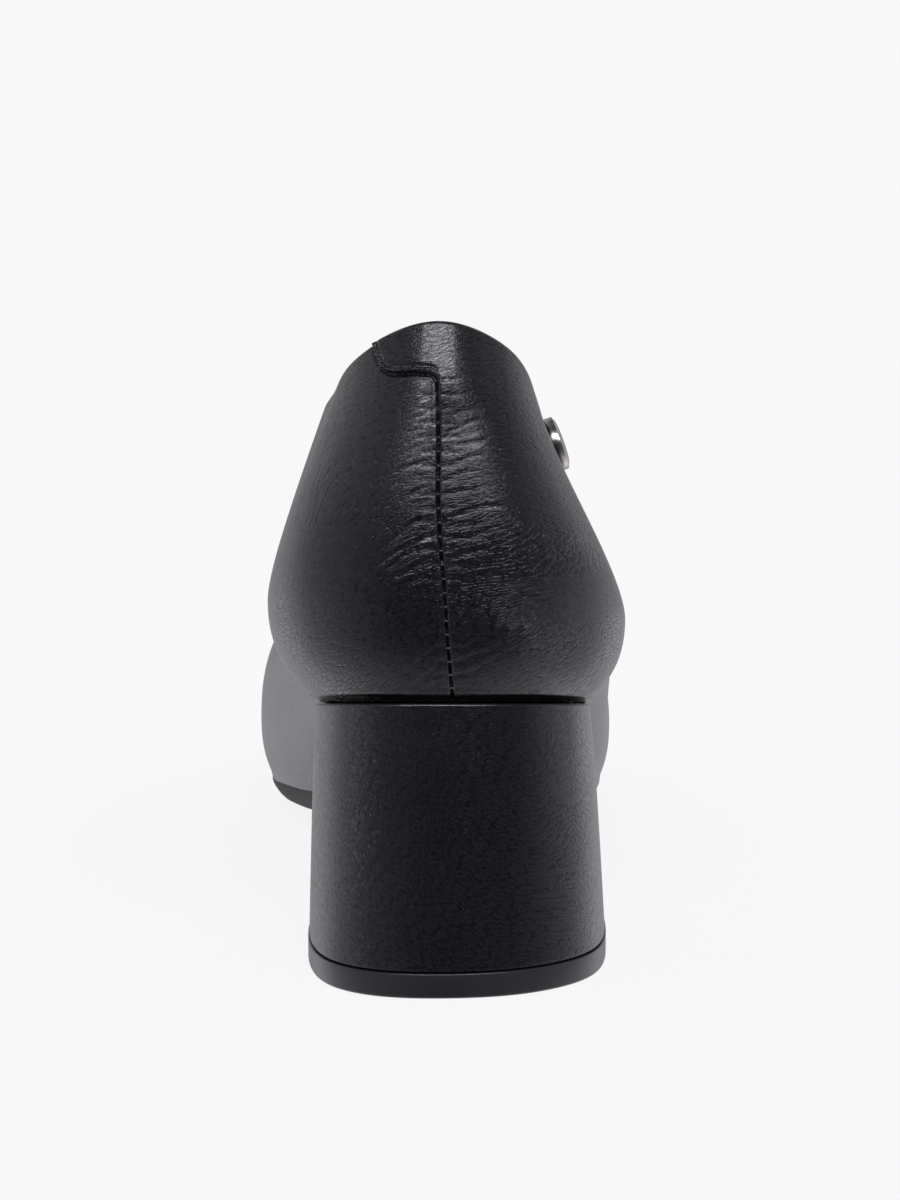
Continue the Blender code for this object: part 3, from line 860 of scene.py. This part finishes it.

# %% [markdown]
# Black leather with a fine natural grain. The colour is nearly black with a cool cast, so its look
# comes from the surface. Two sizes of long cells lie along the flow, with shallow cracks between
# them: fine ones that crowd beside the seam and catch the bright panel, and longer ones on the
# sides that thin out towards the toe. Small pebbles and a grain finer still break up the gloss.
# A thin coat lies on the cells and is missing in the cracks, and the cracks' colour is painted
# shade, darker than the cells, so they also read as dark lines.

# %% Leather finishes
GRAIN_CELL, GRAIN_DEEP = 0.00046, 0.000015
PEBBLE_CELL, PEBBLE_DEEP = 0.0011, 0.000026
FINE_LONG, FINE_WIDE, FINE_DEEP = 1.1, 0.48, 0.000028
FINE_FADE_FROM, FINE_FADE_TO, FINE_LOW, FINE_HIGH = 1.0, 7.5, 80.0, 97.0
FINE_END, FINE_GONE = 103.5, 106.0
LINE_LONG, LINE_WIDE, LINE_DEEP = 2.6, 0.62, 0.000078
LINE_CALM_FROM, LINE_CALM_TO, LINE_CALM = 7.0, 22.0, 0.22
LINE_FADE_FROM, LINE_FADE_TO = 34.0, 75.0
COAT_ON_CELLS = 0.24
CRACK_WIDTH, GRAIN_CREASE = 0.17, 0.35
FLOW_WARP, LINE_WARP = 1.6, 0.5
FINE_LEAST, FINE_LOW_DOWN, FINE_ON_TAB, LINE_IN_FRONT = 0.14, 0.14, 0.3, 0.15
DRIFT_CELL, DRIFT_DEEP = 0.012, 0.00022


def object_spot(finish):
    return finish.node("ShaderNodeTexCoord", None, None, output=3)


def flow_parts(finish):
    """The two coordinates of the flow map, in millimetres."""
    spot = finish.node("ShaderNodeUVMap", {"uv_map": "flow"})
    split = finish.node("ShaderNodeSeparateXYZ", None, {0: spot}).socket.node
    return Value(finish, split.outputs[0]), Value(finish, split.outputs[1])


def flow_cells(finish, along, level, length, width, warp):
    """Cells drawn out along the flow: 0 in the crack between two cells and 1 inside a cell."""
    place = finish.node("ShaderNodeCombineXYZ", None, {0: along / length + warp, 1: level / width + warp})
    settings = {"feature": "DISTANCE_TO_EDGE", "voronoi_dimensions": "2D"}
    sockets = {"Vector": place, "Scale": 1.0, "Randomness": 1.0}
    return finish.node("ShaderNodeTexVoronoi", settings, sockets).between(0.0, CRACK_WIDTH)


def at_least(least, share):
    """A share of 0 to 1 squeezed into the span from least to 1."""
    return least + (1 - least) * share


def noise(finish, spot, cell, detail=2.0, roughness=0.5):
    sockets = {"Vector": spot, "Scale": 1.0 / cell, "Detail": detail, "Roughness": roughness}
    return finish.node("ShaderNodeTexNoise", None, sockets)


def pebbles(finish, spot, cell):
    """Rounded cells with creases between them: 0 in a crease and towards 1 on a pebble."""
    settings = {"feature": "DISTANCE_TO_EDGE"}
    sockets = {"Vector": spot, "Scale": 1.0 / cell, "Randomness": 0.95}
    return finish.node("ShaderNodeTexVoronoi", settings, sockets).between(0.0, GRAIN_CREASE)


def leather(name, dark, cell_colour, depth, cracks):
    """Black leather. cracks gives the strength of its fine and of its long cracks at a place."""
    skin = Finish(bpy.data.materials.new(name))
    spot = object_spot(skin)
    along, level = flow_parts(skin)
    across = Value(skin, skin.node("ShaderNodeSeparateXYZ", None, {0: spot}).socket)
    grain = pebbles(skin, spot, GRAIN_CELL)
    pebble = noise(skin, spot, PEBBLE_CELL, detail=3.0, roughness=0.6)
    drift = noise(skin, spot, DRIFT_CELL, detail=1.0)
    warp = FLOW_WARP * pebble
    fine_share, line_share = cracks(along, level, across)
    fine = flow_cells(skin, along, level, FINE_LONG, FINE_WIDE, warp)
    line = flow_cells(skin, along, level, LINE_LONG, LINE_WIDE, warp * LINE_WARP)
    cells = line * at_least(0.4, fine) * (0.6 + 0.6 * pebble)
    normal = skin.bump(drift, DRIFT_DEEP)
    normal = skin.bump(line * line_share, LINE_DEEP * depth, normal)
    normal = skin.bump(fine * fine_share, FINE_DEEP * depth, normal)
    normal = skin.bump(pebble, PEBBLE_DEEP * depth, normal)
    normal = skin.bump(grain, GRAIN_DEEP * depth, normal)
    # The base colour is darker in the cracks than on the cells: painted shade in the cracks.
    sockets = {
        "Base Color": skin.mix(cells, dark, cell_colour),
        "Roughness": 0.19 + 0.05 * drift - 0.03 * grain,
        "Specular IOR Level": 0.27,
        "Coat Weight": 0.01 + COAT_ON_CELLS * cells,
        "Coat Roughness": 0.12,
        "Normal": normal,
    }
    return skin.close(skin.node("ShaderNodeBsdfPrincipled", None, sockets))


def upper_cracks(along, level, across):
    """Fine cracks crowd beside the seam, above the heel's swell. Long ones fade to the front."""
    from_seam = along.lowest(GIRTH - along)
    fine = 1 - from_seam.between(FINE_FADE_FROM, FINE_FADE_TO)
    fine = fine * at_least(FINE_LOW_DOWN, level.between(FINE_LOW, FINE_HIGH))
    fine = fine * at_least(FINE_ON_TAB, 1 - level.between(FINE_END, FINE_GONE))
    line = at_least(LINE_CALM, from_seam.between(LINE_CALM_FROM, LINE_CALM_TO))
    line = line * at_least(LINE_IN_FRONT, 1 - from_seam.between(LINE_FADE_FROM, LINE_FADE_TO))
    return at_least(FINE_LEAST, fine), line


# The first colour is painted shade in the cracks, the second the leather's own colour on the cells.
upper_leather = leather(
    "upper_leather", colour(0.0010, 0.0010, 0.0014), colour(0.0056, 0.0054, 0.0070), 1.0, upper_cracks
)
mesh = unit_grid(len(SKIN_SECTIONS) - 1, len(SKIN_ROWS.height) - 1)
upper = make_piece("upper_skin", mesh, skin_at, skin_flow, upper_leather, "upper")

# %% [markdown]
# The lining is a thin beige leather that covers the inside and is trimmed level with the collar,
# so from behind it shows as a hair of warm brown along the top edge. It is a closed shell too,
# and its foot turns in as a flange that the sock covers.

# %% Make the lining
LINING_OUT, LINING_PROUD = 1.15, 0.12
LINING_ROUND, LINING_SPREAD = 4, 0.085
LINING_FLANGE, LINING_FLANGE_HEIGHTS = 1.8, (0.032, 0.022)
LINING_BACK = (0.03, 0.12, 0.25, 0.6, 0.9, 0.975)
LINING_HEIGHTS = (0.985, 0.97, 0.95, 0.92, 0.88, 0.83, 0.77, 0.70, 0.62, 0.54, 0.46, 0.38, 0.31)
LINING_FOOT = (0.25, 0.20, 0.16, 0.12, 0.09, 0.06, 0.03)


def lining_rows():
    rows = [WallRow(height, LINING_OUT, 0.0, 0.0) for height in LINING_BACK]
    radius = (WALL - LINING_OUT) / 2
    for step in range(LINING_ROUND + 1):
        turn = math.pi * step / LINING_ROUND
        inward = LINING_OUT + radius * (1 - math.cos(turn))
        rows.append(WallRow(1.0, inward, radius * (math.sin(turn) - 1) + LINING_PROUD, 0.0))
    rows += [WallRow(height, WALL, 0.0, 0.0) for height in LINING_HEIGHTS + LINING_FOOT]
    rows += [WallRow(height, WALL + LINING_FLANGE, 0.0, 0.0) for height in LINING_FLANGE_HEIGHTS]
    rows.append(rows[0])
    return WallRow(*np.array(rows).T)


LINING_ROWS = lining_rows()
LINING_SECTIONS = spaced((Stretch(float(SECTIONS), LINING_SPREAD),))


def lining_at(shares):
    row = rows_at(shares[:, 1], LINING_ROWS)
    sections = taken(shares[:, 0], LINING_SECTIONS)
    wall, out, up = wall_frame(sections, row.height)
    return tucked(wall - out * row.inward[:, None] + up * row.lift[:, None], sections, row.height)


def plain_flow(shares, spots):
    """Once round the foot and up, in millimetres, for a piece with no streaks."""
    return np.stack((shares[:, 0] * GIRTH, spots[:, 2]), axis=1)


LINING_GRAIN, LINING_GRAIN_DEEP, LINING_CLOUD = 0.0009, 0.00003, 0.014


def soft_leather(name, light, shaded):
    """Unpolished lining leather with fine pores and a faint cloudiness."""
    hide = Finish(bpy.data.materials.new(name))
    spot = object_spot(hide)
    pores = noise(hide, spot, LINING_GRAIN, detail=4.0, roughness=0.6)
    cloud = noise(hide, spot, LINING_CLOUD, detail=3.0)
    normal = hide.bump(pores, LINING_GRAIN_DEEP)
    sockets = {
        "Base Color": hide.mix(cloud.between(0.3, 0.7), light, shaded),
        "Roughness": 0.62 + 0.12 * pores,
        "Specular IOR Level": 0.35,
        "Normal": normal,
    }
    return hide.close(hide.node("ShaderNodeBsdfPrincipled", None, sockets))


lining_leather = soft_leather("lining_leather", colour(0.40, 0.29, 0.20), colour(0.33, 0.235, 0.16))
mesh = unit_grid(len(LINING_SECTIONS) - 1, len(LINING_ROWS.height) - 1)
make_piece("lining", mesh, lining_at, plain_flow, lining_leather, "")

# %% [markdown]
# The insole and the outsole are plates that follow the bottom of the last. Each starts as a unit
# block: a grid, its copy one unit higher, and a rim drawn out from the first until it meets the
# copy. The block's third share picks the line of the edge from a short table, so one table rounds
# the edge all the way round.

# %% Unit blocks and the plates made from them
EdgeLine = namedtuple("EdgeLine", "inset lift")


def new_verts(geometry):
    return [item for item in geometry if isinstance(item, bmesh.types.BMVert)]


def unit_block(columns, rows, levels):
    mesh = unit_grid(columns, rows)
    rim = [edge for edge in mesh.edges if edge.is_boundary]
    copied = bmesh.ops.duplicate(mesh, geom=mesh.verts[:] + mesh.edges[:] + mesh.faces[:])
    bmesh.ops.translate(mesh, verts=new_verts(copied["geom"]), vec=(0.0, 0.0, 1.0))
    for _ in range(levels):
        drawn = new_verts(bmesh.ops.extrude_edge_only(mesh, edges=rim)["geom"])
        bmesh.ops.translate(mesh, verts=drawn, vec=(0.0, 0.0, 1.0 / levels))
        fresh = set(drawn)
        rim = [edge for edge in mesh.edges if fresh.issuperset(edge.verts)]
    bmesh.ops.remove_doubles(mesh, verts=mesh.verts, dist=0.0001)
    return mesh


def plate_at(shares, sections, edge_lines):
    """Points of a plate. Its first level is the lowest line of the table's edge."""
    inset, lift = rows_at(shares[:, 2], EdgeLine(*np.array(edge_lines).T))
    here = taken(shares[:, 1], sections)
    across = 0.5 - 0.5 * np.cos(math.pi * shares[:, 0])
    inner, outer = foot_edges(here, inset)
    place = inner + (outer - inner) * across[:, None]
    edge = np.maximum(1.0 - inset / half_width(here), 0.0)
    place[:, 2] = base_z(place[:, 1], edge * (2 * across - 1)) + lift
    return place


def foot_edges(sections, inset):
    """The inner and the outer end of each rung across the sole."""
    ends = []
    for side in (1.0, -1.0):
        line = foot_line(sections * side)
        line -= plan_out(sections * side) * inset[:, None]
        ends.append(line)
    return ends


# %% [markdown]
# The insole is what the foot stands on: a padded beige sock with softly rounded edges. It is
# crowned a little under the heel. The photograph doesn't show it, so it is kept plain.

# %% Make the insole
INSOLE_EDGE = table(
    EdgeLine,
    (2.9, 0.18), (2.4, 0.6), (1.86, 1.1), (1.82, 1.6), (1.9, 1.98),
    (2.25, 2.18), (2.9, INSOLE_THICK),
)
INSOLE_SECTIONS = spaced((Stretch(1.0, 0.05), Stretch(14.0, 0.16), Stretch(15.0, 0.05)))
CROWN, CROWN_X, CROWN_Y, CROWN_LONG, CROWN_WIDE = 0.7, 0.5, 30.0, 22.0, 15.0


def insole_at(shares):
    place = plate_at(shares, INSOLE_SECTIONS, INSOLE_EDGE)
    top = shares[:, 2] > 0.99
    crown = hump(place[:, 1], CROWN_Y, CROWN_LONG) * hump(place[:, 0], CROWN_X, CROWN_WIDE)
    place[:, 2] += CROWN * crown * top
    return place


insole_leather = soft_leather("insole_leather", colour(0.43, 0.32, 0.22), colour(0.37, 0.27, 0.185))
mesh = unit_block(32, len(INSOLE_SECTIONS) - 1, len(INSOLE_EDGE) - 1)
make_piece("insole_sock", mesh, insole_at, plain_flow, insole_leather, "insole")

# %% [markdown]
# The outsole is thin moulded rubber with a rounded lower edge. From behind, only its edge shows
# beside the heel, as a dark and slightly brown band. Its tread isn't seen in the photograph: fine
# ribs across the ball are a guess.

# %% Make the outsole
SOLE_EDGE = table(
    EdgeLine,
    (3.0, -SOLE_THICK), (2.0, -2.72), (1.2, -2.32), (0.55, -1.80), (0.12, -1.30),
    (0.0, -1.0), (0.0, -0.22), (0.10, -0.05), (0.30, 0.0),
)
SOLE_SECTIONS = spaced((Stretch(9.0, 0.12), Stretch(10.0, 0.05))) + HEEL_FRONT


def outsole_at(shares):
    place = plate_at(shares, SOLE_SECTIONS, SOLE_EDGE)
    place[:, 1] = np.maximum(place[:, 1], HEEL_FRONT_Y + GAP)
    place[:, 2] = np.maximum(place[:, 2] - GAP, 0.0)
    return place


TREAD_FROM_Y, TREAD_TO_Y, TREAD_RIB, TREAD_DEEP = 0.012, 0.095, 0.0024, 0.00025
TREAD_LOW, TREAD_SOFT = 0.004, 0.002
STIPPLE_CELL, STIPPLE_SHARE, RUBBER_CLOUD = 0.00035, 0.06, 0.010


def rubber(name, dark, tint, rough, mirror, tread):
    """Moulded rubber: faintly stippled, with ribs where tread is set."""
    gum = Finish(bpy.data.materials.new(name))
    spot = object_spot(gum)
    cloud = noise(gum, spot, RUBBER_CLOUD, detail=3.0)
    height = noise(gum, spot, STIPPLE_CELL) * STIPPLE_SHARE
    if tread:
        parts = gum.node("ShaderNodeSeparateXYZ", None, {0: spot}).socket.node
        ahead, up = Value(gum, parts.outputs[1]), Value(gum, parts.outputs[2])
        rib = abs((ahead / TREAD_RIB).maths("FRACT", ahead / TREAD_RIB) - 0.5).between(0.1, 0.3)
        zone = ahead.between(TREAD_FROM_Y, TREAD_FROM_Y + TREAD_SOFT)
        zone = zone * (1 - ahead.between(TREAD_TO_Y - TREAD_SOFT, TREAD_TO_Y))
        height = height + rib * zone * (1 - up.between(0.0, TREAD_LOW))
    sockets = {
        "Base Color": gum.mix(cloud.between(0.35, 0.65), dark, tint),
        "Roughness": rough + 0.08 * cloud,
        "Specular IOR Level": mirror,
        "Normal": gum.bump(height, TREAD_DEEP),
    }
    return gum.close(gum.node("ShaderNodeBsdfPrincipled", None, sockets))


sole_rubber = rubber(
    "outsole_rubber", colour(0.0080, 0.0062, 0.0056), colour(0.0105, 0.0076, 0.0066), 0.55, 0.12, tread=True
)
mesh = unit_block(40, len(SOLE_SECTIONS) - 1, len(SOLE_EDGE) - 1)
make_piece("outsole_plate", mesh, outsole_at, plain_flow, sole_rubber, "outsole")

# %% [markdown]
# The block heel is wrapped in the same leather, with crisp edges: the top edge catches a thin line
# of light. Its outline is the sole's outline as far as the heel's front, closed by a straight
# line, with the two front corners rounded. A grid runs once round that outline and down.

# %% The heel's outline
HEEL_TOP_X, HEEL_BOTTOM_X = 0.45, 1.3
HEEL_FLARE, HEEL_BOW, HEEL_REACH = 0.073, 0.75, 5.5
HEEL_EDGE_ROUND, HEEL_FOOT_ROUND = 0.6, 0.25
CORNER_ROUND = 1.1
RING_POINTS, RING_SAMPLES = 1440, 400


def heel_ring():
    """The heel's outline in plan, from the middle of its front round by the outer side."""
    back = foot_line(np.linspace(-HEEL_FRONT, HEEL_FRONT, RING_SAMPLES))[:, :2]
    back[:, 1] = np.minimum(back[:, 1], HEEL_FRONT_Y)
    front = (back[0] + back[-1]) / 2
    line = np.vstack((front, back, front))
    reach = np.concatenate(([0.0], np.cumsum(np.linalg.norm(np.diff(line, axis=0), axis=1))))
    even = np.linspace(0.0, reach[-1], RING_POINTS, endpoint=False)
    ring = np.stack([np.interp(even, reach, line[:, axis]) for axis in (0, 1)], axis=1)
    spread = round(CORNER_ROUND / reach[-1] * RING_POINTS)
    ring = sum(np.roll(ring, shift, 0) for shift in range(-spread, spread + 1)) / (2 * spread + 1)
    return np.vstack((ring, ring[:1])), float(reach[-1])


RING, RING_LENGTH = heel_ring()


def ring_at(shares, grow):
    """Points of the outline, moved out by grow."""
    places = (shares % 1.0) * RING_POINTS
    steps = np.arange(RING_POINTS + 1)
    ahead, behind = (places + 2) % RING_POINTS, (places - 2) % RING_POINTS
    x, y = (np.interp(places, steps, RING[:, axis]) for axis in (0, 1))
    run_x, run_y = (
        np.interp(ahead, steps, RING[:, axis]) - np.interp(behind, steps, RING[:, axis])
        for axis in (0, 1)
    )
    length = np.hypot(run_x, run_y)
    return x - run_y / length * grow, y + run_x / length * grow


print("heel outline:", round(RING_LENGTH, 1), "mm round")

# %% [markdown]
# The cover's rows round the top edge, run down the block and round its foot. Its cells turn with
# the heel: steep at both sides and flatter at the back, where the leather is also calmest.

# %% Make the heel's cover
HeelRow = namedtuple("HeelRow", "down inset lift")
DOWN_THE_BLOCK, ROUND_THE_BLOCK, BLOCK_SHARP = 49, 420, 50.0


def quarter_turn(steps):
    """The sines and cosines of even steps through a quarter turn."""
    return [(math.sin(turn), math.cos(turn)) for turn in np.linspace(0.0, math.pi / 2, steps + 1)]


def heel_rows():
    top, foot = HEEL_EDGE_ROUND, HEEL_FOOT_ROUND
    rows = [HeelRow(0.0, top * (1 - sine), top * cosine) for sine, cosine in quarter_turn(6)]
    rows += [HeelRow(down, 0.0, 0.0) for down in np.linspace(0.0, 1.0, DOWN_THE_BLOCK)[1:-1]]
    rows += [HeelRow(1.0, foot * (1 - cosine), foot * (1 - sine)) for sine, cosine in quarter_turn(4)]
    return HeelRow(*np.array(rows).T)


HEEL_ROWS = heel_rows()


def block_at(around, down, grow):
    """Plan points of the block, which flares a little and reaches back towards the floor."""
    x, y = ring_at(around, grow)
    spread = down**HEEL_BOW
    middle = HEEL_TOP_X + (HEEL_BOTTOM_X - HEEL_TOP_X) * spread
    return middle + (x - HEEL_TOP_X) * (1 + HEEL_FLARE * spread), y


def heel_at(shares):
    row = rows_at(shares[:, 1], HEEL_ROWS)
    x, y = block_at(shares[:, 0], row.down, -row.inset)
    top = bottom_z(y) - GAP - HEEL_EDGE_ROUND
    z = top + (TIP_THICK + GAP - top) * row.down + row.lift
    return stack_columns(x, y - HEEL_REACH * row.down, z)


Turn = namedtuple("Turn", "aside degrees")
HEEL_TURNS = table(
    Turn,
    (-60.0, 70.0), (-30.0, 64.0), (-18.0, 54.0), (-8.0, 40.0),
    (2.0, 24.0), (14.0, 26.0), (24.0, 58.0), (60.0, 80.0),
)


def heel_flow(shares, spots):
    """The streaks of the cover run down to the outer side and lie flatter at the back."""
    asides = np.linspace(-RING_LENGTH / 2, RING_LENGTH / 2, RING_SAMPLES)
    turns = np.radians(np.interp(asides, [row.aside for row in HEEL_TURNS],
                                 [row.degrees for row in HEEL_TURNS]))
    step = asides[1] - asides[0]
    level_part, along_part = np.cumsum(np.sin(turns)) * step, np.cumsum(np.cos(turns)) * step
    aside = (0.5 - shares[:, 0]) * RING_LENGTH
    turn = np.interp(aside, asides, turns)
    z = spots[:, 2]
    along = np.interp(aside, asides, along_part) - z * np.sin(turn)
    level = np.interp(aside, asides, level_part) + z * np.cos(turn)
    return np.stack((along, level), axis=1)


HEEL_CALM, HEEL_LIVELY, HEEL_DEPTH = 0.009, 0.024, 0.72
HEEL_FINE, HEEL_FINE_MORE, HEEL_LINE, HEEL_LINE_MORE = 0.16, 0.50, 0.14, 0.75


def heel_cracks(along, level, across):
    """The cover is calm in the middle of the back and cracked towards its two sides."""
    side = abs(across - (HEEL_TOP_X - MIDDLE_X) * MM).between(HEEL_CALM, HEEL_LIVELY)
    return HEEL_FINE + HEEL_FINE_MORE * side, HEEL_LINE + HEEL_LINE_MORE * side


# The first colour is painted shade in the cracks, the second the leather's own colour on the cells.
heel_leather = leather(
    "heel_leather", colour(0.0010, 0.0010, 0.0016), colour(0.0056, 0.0056, 0.0074), HEEL_DEPTH, heel_cracks
)
mesh = unit_grid(ROUND_THE_BLOCK, len(HEEL_ROWS.down) - 1)
make_piece("heel_cover", mesh, heel_at, heel_flow, heel_leather, "heel", BLOCK_SHARP)

# %% [markdown]
# The heel tip is a separate slab of hard rubber under the block, a hair wider than the leather, with
# a thin dark line between the two. Its sides are smooth and its lower edge is rounded.

# %% Make the heel tip
TIP_TOP_ROUND, TIP_BOTTOM_ROUND = 0.18, 0.5
TipRow = namedtuple("TipRow", "grow z")


def tip_rows():
    rows = []
    for sine, cosine in quarter_turn(3):
        rows.append(TipRow(TIP_PROUD - TIP_TOP_ROUND * (1 - sine), TIP_THICK - TIP_TOP_ROUND * (1 - cosine)))
    for sine, cosine in quarter_turn(6):
        rows.append(TipRow(TIP_PROUD - TIP_BOTTOM_ROUND * (1 - cosine), TIP_BOTTOM_ROUND * (1 - sine)))
    return TipRow(*np.array(rows).T)


TIP_ROWS = tip_rows()


def tip_at(shares):
    row = rows_at(shares[:, 1], TIP_ROWS)
    x, y = block_at(shares[:, 0], np.ones_like(row.z), row.grow)
    return stack_columns(x, y - HEEL_REACH, row.z)


tip_rubber = rubber(
    "tip_rubber", colour(0.0082, 0.0085, 0.0102), colour(0.0095, 0.0098, 0.0118), 0.28, 0.36, tread=False
)
mesh = unit_grid(ROUND_THE_BLOCK, len(TIP_ROWS.z) - 1)
make_piece("heel_tip_slab", mesh, tip_at, plain_flow, tip_rubber, "heel_tip", BLOCK_SHARP)

# %% [markdown]
# A small round badge sits on the outer quarter, close under the collar. It is one turned piece of
# dark polished metal, so its half section is spun once round. Its face is a plain low dome inside
# a rim, with one fine ring.

# %% Make the badge
BADGE_SECTION, BADGE_HEIGHT = 25.3, 0.914
BADGE_STEPS, BADGE_SHARP = 96, 35.0
METAL_CLOUD, SCRATCH_CELL, SCRATCH_DEEP = 0.0012, 0.00012, 0.000004
SectionPoint = namedtuple("SectionPoint", "radius stand")
BADGE_PROFILE = table(
    SectionPoint,
    (0.0, 0.0), (4.90, 0.0), (5.04, 0.06), (5.10, 0.20), (5.10, 1.48),
    (5.06, 1.57), (4.98, 1.62), (4.84, 1.60), (4.76, 1.66), (4.45, 1.84),
    (4.02, 2.00), (3.45, 2.11), (3.34, 2.06), (3.22, 2.12), (2.50, 2.20),
    (1.60, 2.26), (0.80, 2.29), (0.0, 2.30),
)


def badge_place():
    """Where the badge's back sits on the wall, and its three directions."""
    spot, out, _ = wall_frame(np.array([BADGE_SECTION]), np.array([BADGE_HEIGHT]))
    normal = Vector(out[0])
    side = normal.cross(Vector((0.0, 0.0, 1.0))).normalized()
    place = Matrix((side, side.cross(normal) * -1.0, normal)).transposed().to_4x4()
    place.translation = Vector(to_metres(spot + out * GAP)[0])
    return place @ Matrix.Scale(MM, 4)


def metal(name):
    """Dark polished metal with faint turning marks."""
    steel = Finish(bpy.data.materials.new(name))
    spot = object_spot(steel)
    cloud = noise(steel, spot, METAL_CLOUD, detail=3.0)
    scratch = noise(steel, spot, SCRATCH_CELL)
    sockets = {
        "Base Color": steel.mix(cloud, colour(0.26, 0.245, 0.235), colour(0.34, 0.32, 0.305)),
        "Metallic": 1.0,
        "Roughness": 0.17 + 0.10 * cloud,
        "Normal": steel.bump(scratch, SCRATCH_DEEP),
    }
    return steel.close(steel.node("ShaderNodeBsdfPrincipled", None, sockets))


mesh = bmesh.new()
chain = [mesh.verts.new((point.radius, 0.0, point.stand)) for point in BADGE_PROFILE]
edges = [mesh.edges.new(pair) for pair in zip(chain, chain[1:])]
bmesh.ops.spin(
    mesh,
    geom=chain + edges,
    cent=(0.0, 0.0, 0.0),
    axis=(0.0, 0.0, 1.0),
    angle=2 * math.pi,
    steps=BADGE_STEPS,
    use_merge=True,
)
bmesh.ops.remove_doubles(mesh, verts=mesh.verts, dist=0.0005)
bmesh.ops.transform(mesh, matrix=badge_place(), verts=mesh.verts)
data = bpy.data.meshes.new("badge_disc")
dress(add_piece("badge_disc", data, mesh, metal("badge_metal"), BADGE_SHARP), "badge")

# %% [markdown]
# The threads are small capsules laid on the leather: one bar across the seam at each stitch, and a
# row of top stitches just inside the tab's edge. Each finds its place on the upper's own mesh.

# %% Make the threads
THREAD, THREAD_ROUND, TWIST_CELL, TWIST_DEEP = 0.17, 0.6, 0.00022, 0.00006
BAR_HALF, BAR_SUNK, BAR_BESIDE, BARS_END = 0.42, 0.25, 1.2, 1.5
TOP_STITCH, TOP_PITCH, TOP_START, TOP_OUT = 1.56, 2.1, 0.5, 0.02

skin_spots = np.empty(len(upper.data.vertices) * 3)
skin_outward = np.empty_like(skin_spots)
upper.data.vertices.foreach_get("co", skin_spots)
upper.data.vertices.foreach_get("normal", skin_outward)
skin_spots = skin_spots.reshape(-1, 3) / MM + (MIDDLE_X, MIDDLE_Y, 0.0)
skin_outward = skin_outward.reshape(-1, 3)
rear_skin = (skin_spots[:, 1] < RELIEF_Y_FULL) & (skin_outward[:, 1] < 0)
skin_spots, skin_outward = skin_spots[rear_skin], skin_outward[rear_skin]


def on_skin(x, z):
    """The upper's surface behind a place seen from the rear, with its outward direction."""
    nearest = np.argmin(np.hypot(skin_spots[:, 0] - x, skin_spots[:, 2] - z))
    return skin_spots[nearest], skin_outward[nearest]


def lay_thread(mesh, start, end):
    """One capsule from start to end, in shoe millimetres."""
    middle, run = Vector((start + end) / 2), Vector(end - start)
    turn = run.to_track_quat("Z", "Y").to_matrix().to_4x4()
    size = Matrix.Diagonal((THREAD, THREAD, run.length / 2 + THREAD * THREAD_ROUND, 1.0))
    place = Matrix.Translation(Vector(to_metres(np.array(middle)))) @ Matrix.Scale(MM, 4)
    bmesh.ops.create_icosphere(mesh, subdivisions=2, radius=1.0, matrix=place @ turn @ size)


def seam_threads(mesh):
    count = 0
    z = STITCH_FIRST_Z
    while z < SEAM_TOP_Z - BARS_END:
        spot, _ = on_skin(seam_x(z) - BAR_BESIDE, z)
        middle = np.array((seam_x(z), spot[1] + BAR_SUNK, z))
        half = np.array((BAR_HALF, 0.0, 0.0))
        lay_thread(mesh, middle - half, middle + half)
        z += STITCH_PITCH
        count += 1
    return count


def tab_threads(mesh):
    """Stitches that follow the tab's outline, a little way inside it."""
    line = np.array([(point.x, point.z) for point in TAB_LINE[1:-1]])
    reach = np.concatenate(([0.0], np.cumsum(np.linalg.norm(np.diff(line, axis=0), axis=1))))
    count = 0
    at = TOP_START
    while at + TOP_STITCH < reach[-1]:
        ends = []
        for stop in (at, at + TOP_STITCH):
            x, z = (np.interp(stop, reach, line[:, axis]) for axis in (0, 1))
            ahead = [np.interp(stop + 0.1, reach, line[:, axis]) for axis in (0, 1)]
            run = np.array((ahead[0] - x, ahead[1] - z))
            run /= np.linalg.norm(run)
            x, z = x - run[1] * TAB_STITCH_IN, z + run[0] * TAB_STITCH_IN
            spot, out = on_skin(x, z)
            ends.append(spot + out * TOP_OUT)
        lay_thread(mesh, *ends)
        at += TOP_PITCH
        count += 1
    return count


def thread_finish(name):
    yarn = Finish(bpy.data.materials.new(name))
    twist = noise(yarn, object_spot(yarn), TWIST_CELL, detail=1.0)
    sockets = {
        "Base Color": yarn.mix(twist, colour(0.012, 0.012, 0.014), colour(0.030, 0.030, 0.033)),
        "Roughness": 0.42 + 0.1 * twist,
        "Specular IOR Level": 0.4,
        "Normal": yarn.bump(twist, TWIST_DEEP),
    }
    return yarn.close(yarn.node("ShaderNodeBsdfPrincipled", None, sockets))


mesh = bmesh.new()
print("seam stitches:", seam_threads(mesh), "tab stitches:", tab_threads(mesh))
data = bpy.data.meshes.new("threads")
threads = add_piece("threads", data, mesh, thread_finish("black_thread"))
dress(threads, "")
